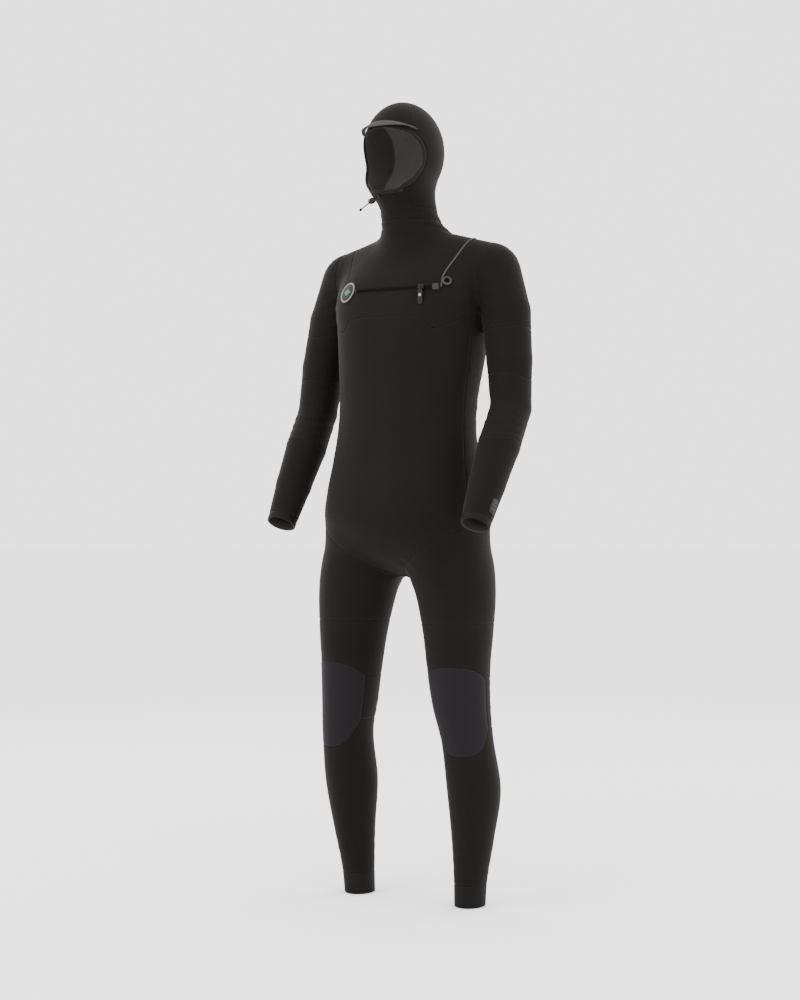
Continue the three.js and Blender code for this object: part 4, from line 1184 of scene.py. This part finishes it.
# Rounded blocks: rings of an oblong that shrink at both ends, by a superellipse of the share along.
def blocks(centres, axes, half, corner=0.45, count=12):
    centres = np.atleast_2d(np.asarray(centres, float))
    axes = np.broadcast_to(np.asarray(axes, float), (len(centres), 3, 3))
    t = np.array([-1, -0.96, -0.86, -0.6, 0.6, 0.86, 0.96, 1])
    shrink = (1 - np.minimum(np.abs(t), 0.985) ** 5) ** 0.3
    ring = oblong(half[0], half[1], count, corner)
    flat = ring[None] * shrink[:, None, None]
    rise = np.broadcast_to((t * half[2])[:, None, None], (len(t), count, 1))
    local = np.concatenate([flat, rise], -1)
    return loft(centres[:, None, None] + np.einsum("rmc,bcd->brmd", local, axes))


# Turned solids: profile of (radius, height), about the third axis; ripple changes the radius with the turn.
def turned(centre, axes, profile, count=24, ripple=None):
    angle = 2 * math.pi * np.arange(count) / count
    profile = np.asarray(profile, float)
    r = profile[:, :1] * np.ones(count)
    if ripple is not None:
        r = r * ripple(angle[None], profile[:, 1:])
    local = np.stack([r * np.cos(angle), r * np.sin(angle), profile[:, 1:] * np.ones(count)], -1)
    return loft((np.asarray(centre, float) + local @ np.asarray(axes, float))[None])


# Turned rings, closed through their own hole: profile is a closed loop of (radius, height).
def hoop(centre, axes, profile, count=32):
    angle = 2 * math.pi * np.arange(count) / count
    profile = np.asarray(profile, float)
    r, h = profile[:, :1], profile[:, 1:]
    local = np.stack([r * np.cos(angle), r * np.sin(angle), h * np.ones(count)], -1)
    points = (np.asarray(centre, float) + local @ np.asarray(axes, float)).reshape(-1, 3)
    n = len(profile)
    j, k = np.meshgrid(np.arange(n), np.arange(count), indexing="ij")
    at = lambda a, b: (a % n) * count + b % count
    quads = np.stack([at(j, k), at(j, k + 1), at(j + 1, k + 1), at(j + 1, k)], -1).reshape(-1, 4)
    return points, quads


def gather(name, parts, material, values=None):
    points, quads, offset = [], [], 0
    for p, q in parts:
        points.append(toFrame(p))
        quads.append(facesOut(toFrame(p), q) + offset)
        offset += len(p)
    return putMesh(name, np.concatenate(points), np.concatenate(quads), values or {}, material)


def settle(piece, node, bodyName):
    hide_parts(node)
    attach(piece, bodyName)


# A patch on the skin: rings of an oblong from its middle to its rim, then back underneath.
def patchPiece(name, field, middle, wide, tall, thick, lift, material, corner=1.0, turn=None):
    centre = lay(field, np.array([middle], float), 12)[0]
    out = unit(steepest(field, centre[None]))[0]
    across = unit(np.cross(out, up)) * -1 if turn is None else turn
    rise = unit(np.cross(out, across))
    share = np.concatenate([np.linspace(0.03, 0.94, 14), [0.98, 1, 1, 0.98], np.linspace(0.94, 0.03, 8)])
    over = np.concatenate([np.full(14, thick), [thick * 0.9, thick * 0.6], [0.0, -0.2], np.full(8, -0.3)])
    ring = oblong(1, 1, 56, corner)
    pad = ring[None] * share[:, None, None]
    flat = centre + pad[..., :1] * across * wide / 2 + pad[..., 1:] * rise * tall / 2
    skin = lay(field, flat, 8)
    normal = unit(steepest(field, skin))
    rings = skin + normal * (over[:, None] + lift + foldHeight(skin))[..., None]
    points, quads = loft(rings[None])
    values = {"padU": pad[..., 0], "padV": pad[..., 1]}
    return gather(name, [(points, quads)], material, values)


# ---- badges and the round toggle ----
def makeTrim():
    chest = patchPiece("chestBadge", wholeField, (-104, -84, 1290), 46, 50, 0.8, 1.0, badgeRubber)
    settle(chest, "chest_badge", "torso")
    way = unit(armLine[5, :3] - armLine[6, :3])
    spot = lay(armField, np.array([[268, -122, 837.0]]), 12)
    out = unit(steepest(armField, spot))[0]
    across = unit(np.cross(way, out))
    wrist = patchPiece("wristBadge", armField, spot[0], 19, 34, 0.5, 1.1, cuffPrint, 0.45, across)
    settle(wrist, "wrist_badge", "forearm_left")
    centre = lay(wholeField, np.array([[136, -76, 1308.0]]), 12)[0]
    out = unit(steepest(wholeField, centre[None]))[0]
    axes = np.array([unit(np.cross(up, out)), unit(np.cross(out, unit(np.cross(up, out)))), out])
    profile = [
        (4.4, 1.2), (4.4, 3.6), (4.9, 4.3), (6.2, 4.7), (7.4, 5.0), (8.6, 5.0), (9.6, 4.4),
        (10.4, 3.2), (11, 2.4), (11, 1.6), (10.6, 1.1), (8, 1.0), (5.2, 1.0),
    ]
    points, quads = hoop(centre, axes, profile, 40)
    local = (points - centre) @ axes.T / 11
    piece = gather("chestToggle", [(points, quads)], toggleRubber, {"padU": local[:, 0], "padV": local[:, 1]})
    settle(piece, "chest_eyelet", "torso")


# ---- chest zip ----
zipper = {
    "centre": (0, 433.884, 1290),
    "radius": 528.45,
    "back": 530.70,
    "thick": 2.2,
    "tall": 7.0,
    "from": -74,
    "to": 106,
    "closed": 84,
    "pitch": 1.3,
}


def zipFrame(x):
    a = np.arcsin(np.asarray(x, float) / zipper["radius"])
    out = np.stack([np.sin(a), -np.cos(a), 0 * a], -1)
    side = np.stack([np.cos(a), np.sin(a), 0 * a], -1)
    return out, side


def zipPoint(x, depth, rise=0.0):
    out, _ = zipFrame(x)
    reach = out * (zipper["back"] + np.asarray(depth))[..., None]
    return np.array(zipper["centre"]) + reach + up * np.asarray(rise)[..., None]


def makeZip():
    x = np.linspace(zipper["from"], zipper["to"], 70)
    out, side = zipFrame(x)
    ring = oblong(0.45, zipper["tall"] / 2, 12, 0.4)
    band = zipPoint(x, np.full(70, 0.45), np.zeros(70))[:, None]
    band = band + out[:, None] * ring[..., :1] + up * ring[..., 1:]
    spots = np.arange(zipper["from"] + 2, zipper["to"] - 2, zipper["pitch"])
    out, side = zipFrame(spots)
    rise = np.where(np.arange(len(spots)) % 2, 0.75, -0.75)
    axes = np.stack([side, np.broadcast_to(up, side.shape), out], 1)
    teeth = blocks(zipPoint(spots, np.full(len(spots), 1.5), rise), axes, (0.52, 1.5, 0.68), 0.6, 8)
    settle(gather("zipChain", [loft(band[None]), teeth], zipPlastic), "zip_chain", "torso")
    out, side = zipFrame(np.array([-76.7]))
    axes = np.array([side[0], up, out[0]])
    stop = blocks(zipPoint(np.array([-76.7]), np.array([1.1])), axes, (2.2, 4.6, 1.1), 0.5)
    settle(gather("zipStop", [stop], blackPlastic), "zip_stop", "torso")
    out, side = zipFrame(np.array([114.2]))
    axes = np.array([side[0], up, out[0]])
    tab = blocks(zipPoint(np.array([114.2]), np.array([1.8])), axes, (7.6, 6.8, 1.7), 0.5, 24)
    stitches = np.stack([np.linspace(-5.4, 5.4, 7)] * 2).ravel()
    rows = np.repeat([5.0, -5.0], 7)
    spot = zipPoint(np.array([114.2]), np.array([3.5]))[0] + side[0] * stitches[:, None] + up * rows[:, None]
    thread = blocks(spot, axes, (0.6, 0.18, 0.14), 0.8, 8)
    settle(gather("zipGarage", [tab, thread], greyPlastic), "zip_garage", "torso")
    bpy.data.objects["zip_tape"].material_slots[0].material = zipPlastic


slider = {"size": (13, 5, 12), "pull": (11, 2, 34), "pinY": -7.65, "pinZ": -2.4, "lugX": 6.6}


def makeSlider():
    out, side = (v[0] for v in zipFrame(np.array([zipper["closed"]])))
    base = np.array(zipper["centre"]) + out * (zipper["back"] + zipper["thick"] + 0.4)
    axes = np.array([side, -out, up])
    put = lambda x, y, z: base + np.array([x, y, z]) @ axes
    sx, sy, sz = (v / 2 for v in slider["size"])
    py, pz, lug = slider["pinY"], slider["pinZ"], slider["lugX"]
    parts = [
        blocks(put(0, -sy, 0), axes, (sx, sy, sz), 0.5, 24),
        blocks(put(0, -sy - 0.4, 1.2), axes, (sx * 0.72, sy, sz * 0.62), 0.5, 20),
        blocks([put(-lug, -5.9, pz), put(lug, -5.9, pz)], axes, (0.7, 3.65, 1.9), 0.5, 16),
    ]
    cross = np.array([axes[1], axes[2], axes[0]])
    parts.append(turned(put(0, py, pz), cross, [(0.9, -5.8), (0.9, 5.8)], 16))
    parts += [turned(put(x, py, pz), cross, [(1.5, -0.2), (1.6, 0), (1.5, 0.2)], 16) for x in (-6.3, 6.3)]
    settle(gather("zipSlider", parts, blackPlastic), "zip_slider", "slider")
    width, thick, long = slider["pull"]
    knuckle = [(1.25, -4.4), (1.25, 4.4), (2.0, 4.4), (2.25, 4.1), (2.25, -4.1), (2.0, -4.4)]
    lower = pz - long / 2 - 0.9
    rails = [put(x, py - 0.75, lower) for x in (-width / 2 + 0.6, width / 2 - 0.6)]
    pull = [
        hoop(put(0, py, pz), cross, knuckle, 24),
        blocks(put(0, py, lower), axes, (width / 2, thick / 2, long / 2 - 0.9), 0.4, 24),
        blocks(rails, axes, (0.5, 0.45, long / 2 - 2.4), 0.6, 10),
        blocks([put(0, py - 0.75, lower - k) for k in (6.4, 8.0, 9.6)], axes, (2.9, 0.4, 0.42), 0.6, 10),
    ]
    settle(gather("zipPull", pull, blackPlastic), "zip_pull", "pull")
    face = np.array([axes[0], axes[2], -axes[1]])
    rivet = [
        (3.0, 0.3), (3.1, 0.8), (2.9, 1.25), (2.3, 1.35), (1.9, 1.1),
        (1.5, 1.05), (1.2, 1.35), (0.6, 1.6), (0.2, 1.65),
    ]
    piece = gather("pullRivet", [turned(put(0, py, lower + 3.5), face, rivet, 28)], brushedMetal)
    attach(piece, "pull")


# ---- drawcord with its lock ----
drawcord = {
    "exit": (-16.115, -98.885, 1485.656),
    "way": (-0.501406, -0.621743, -0.601687),
    "press": (-0.797579, 0.601687, 0.042906),
    "length": 46.0,
    "radius": 1.3,
    "sag": 1.4,
    "lockAt": 19.0,
}


# The cord leaves straight and falls by sag x the share along it to the power 2.5.
def makeCord():
    way, press = unit(np.array(drawcord["way"])), unit(np.array(drawcord["press"]))
    third = np.cross(way, press)
    start = np.array(drawcord["exit"])
    t = np.linspace(0, 1, 30)[:, None]
    path = start + way * drawcord["length"] * t - up * drawcord["sag"] * t**2.5
    tangent = unit(np.gradient(path, axis=0))
    side = unit(np.cross(tangent, press))
    out = np.cross(side, tangent)
    section = oblong(drawcord["radius"], drawcord["radius"], 16, 1.0)
    cord = sweepPiece("drawcord", path, side, out, section, cordBraid, False)
    axes = np.array([third, press, way])
    centre = start + way * drawcord["lockAt"]
    side = np.array([way, third, press])
    ripple = lambda a, h: 1 + 0.022 * np.sign(np.sin(10 * a)) * (np.abs(h) < 5.2)
    barrel = [
        (4.9, -6.5), (5.9, -6.4), (6.35, -5.9), (6.4, -5.2), (6.4, -5.0), (6.4, 5.0),
        (6.4, 5.2), (6.35, 5.9), (5.9, 6.4), (4.9, 6.5), (4.75, 6.2), (4.75, 1.6),
    ]
    lock = gather("cordLock", [turned(centre, side, barrel, 60, ripple)], blackPlastic)
    cap = [(4.5, 5.1), (4.5, 10.4), (4.2, 11.1), (3.6, 11.45), (2.6, 11.3), (1.2, 11.1), (0.4, 11.05)]
    button = gather("lockButton", [turned(centre, side, cap, 36)], greyPlastic)
    turns = np.linspace(0, 3.5, 85)
    angle = 2 * math.pi * turns
    coil = centre + press * (-4.3 + 2.4 * turns / 3.5)[:, None]
    coil = coil + 3.5 * (np.cos(angle)[:, None] * way + np.sin(angle)[:, None] * third)
    step = unit(np.gradient(coil, axis=0))
    away = unit(np.cross(step, press))
    wire = oblong(0.28, 0.28, 8, 1.0)
    spring = sweepPiece("lockSpring", coil, away, np.cross(away, step), wire, brushedMetal, False)
    tie = lambda a, h: 1 + 0.10 * np.sin(3 * a + 1.6 * h)
    bulb = [
        (0.6, -3.1), (1.6, -2.8), (2.5, -2.0), (3.05, -0.9), (3.15, 0),
        (3.0, 1.0), (2.4, 2.0), (1.5, 2.8), (0.6, 3.15),
    ]
    knotTurns = 30
    plain = np.zeros(len(bulb) * knotTurns)
    ball = turned(path[-1] + way * 3.5, axes, bulb, knotTurns, tie)
    knot = gather("cordKnot", [ball], cordBraid, {"clothU": plain, "clothV": plain})
    gland = [(1.65, 0.1), (1.65, 2.4), (2.2, 2.55), (2.7, 2.2), (2.9, 1.3), (3.4, 0.9), (3.4, 0.1)]
    eyelet = gather("cordEyelet", [hoop(start, axes, gland, 28)], greyPlastic)
    settle(cord, "hood_drawcord", "hood")
    settle(knot, "cord_knot", "hood")
    settle(eyelet, "cord_eyelet", "hood")
    settle(lock, "cord_lock_body", "cord_lock")
    settle(spring, "cord_lock_spring", "cord_lock")
    settle(button, "cord_lock_button", "lock_button")


makeCord()
print("drawcord made")
makeTrim()
print("badges and toggle made")
makeZip()
makeSlider()
print("zip made")
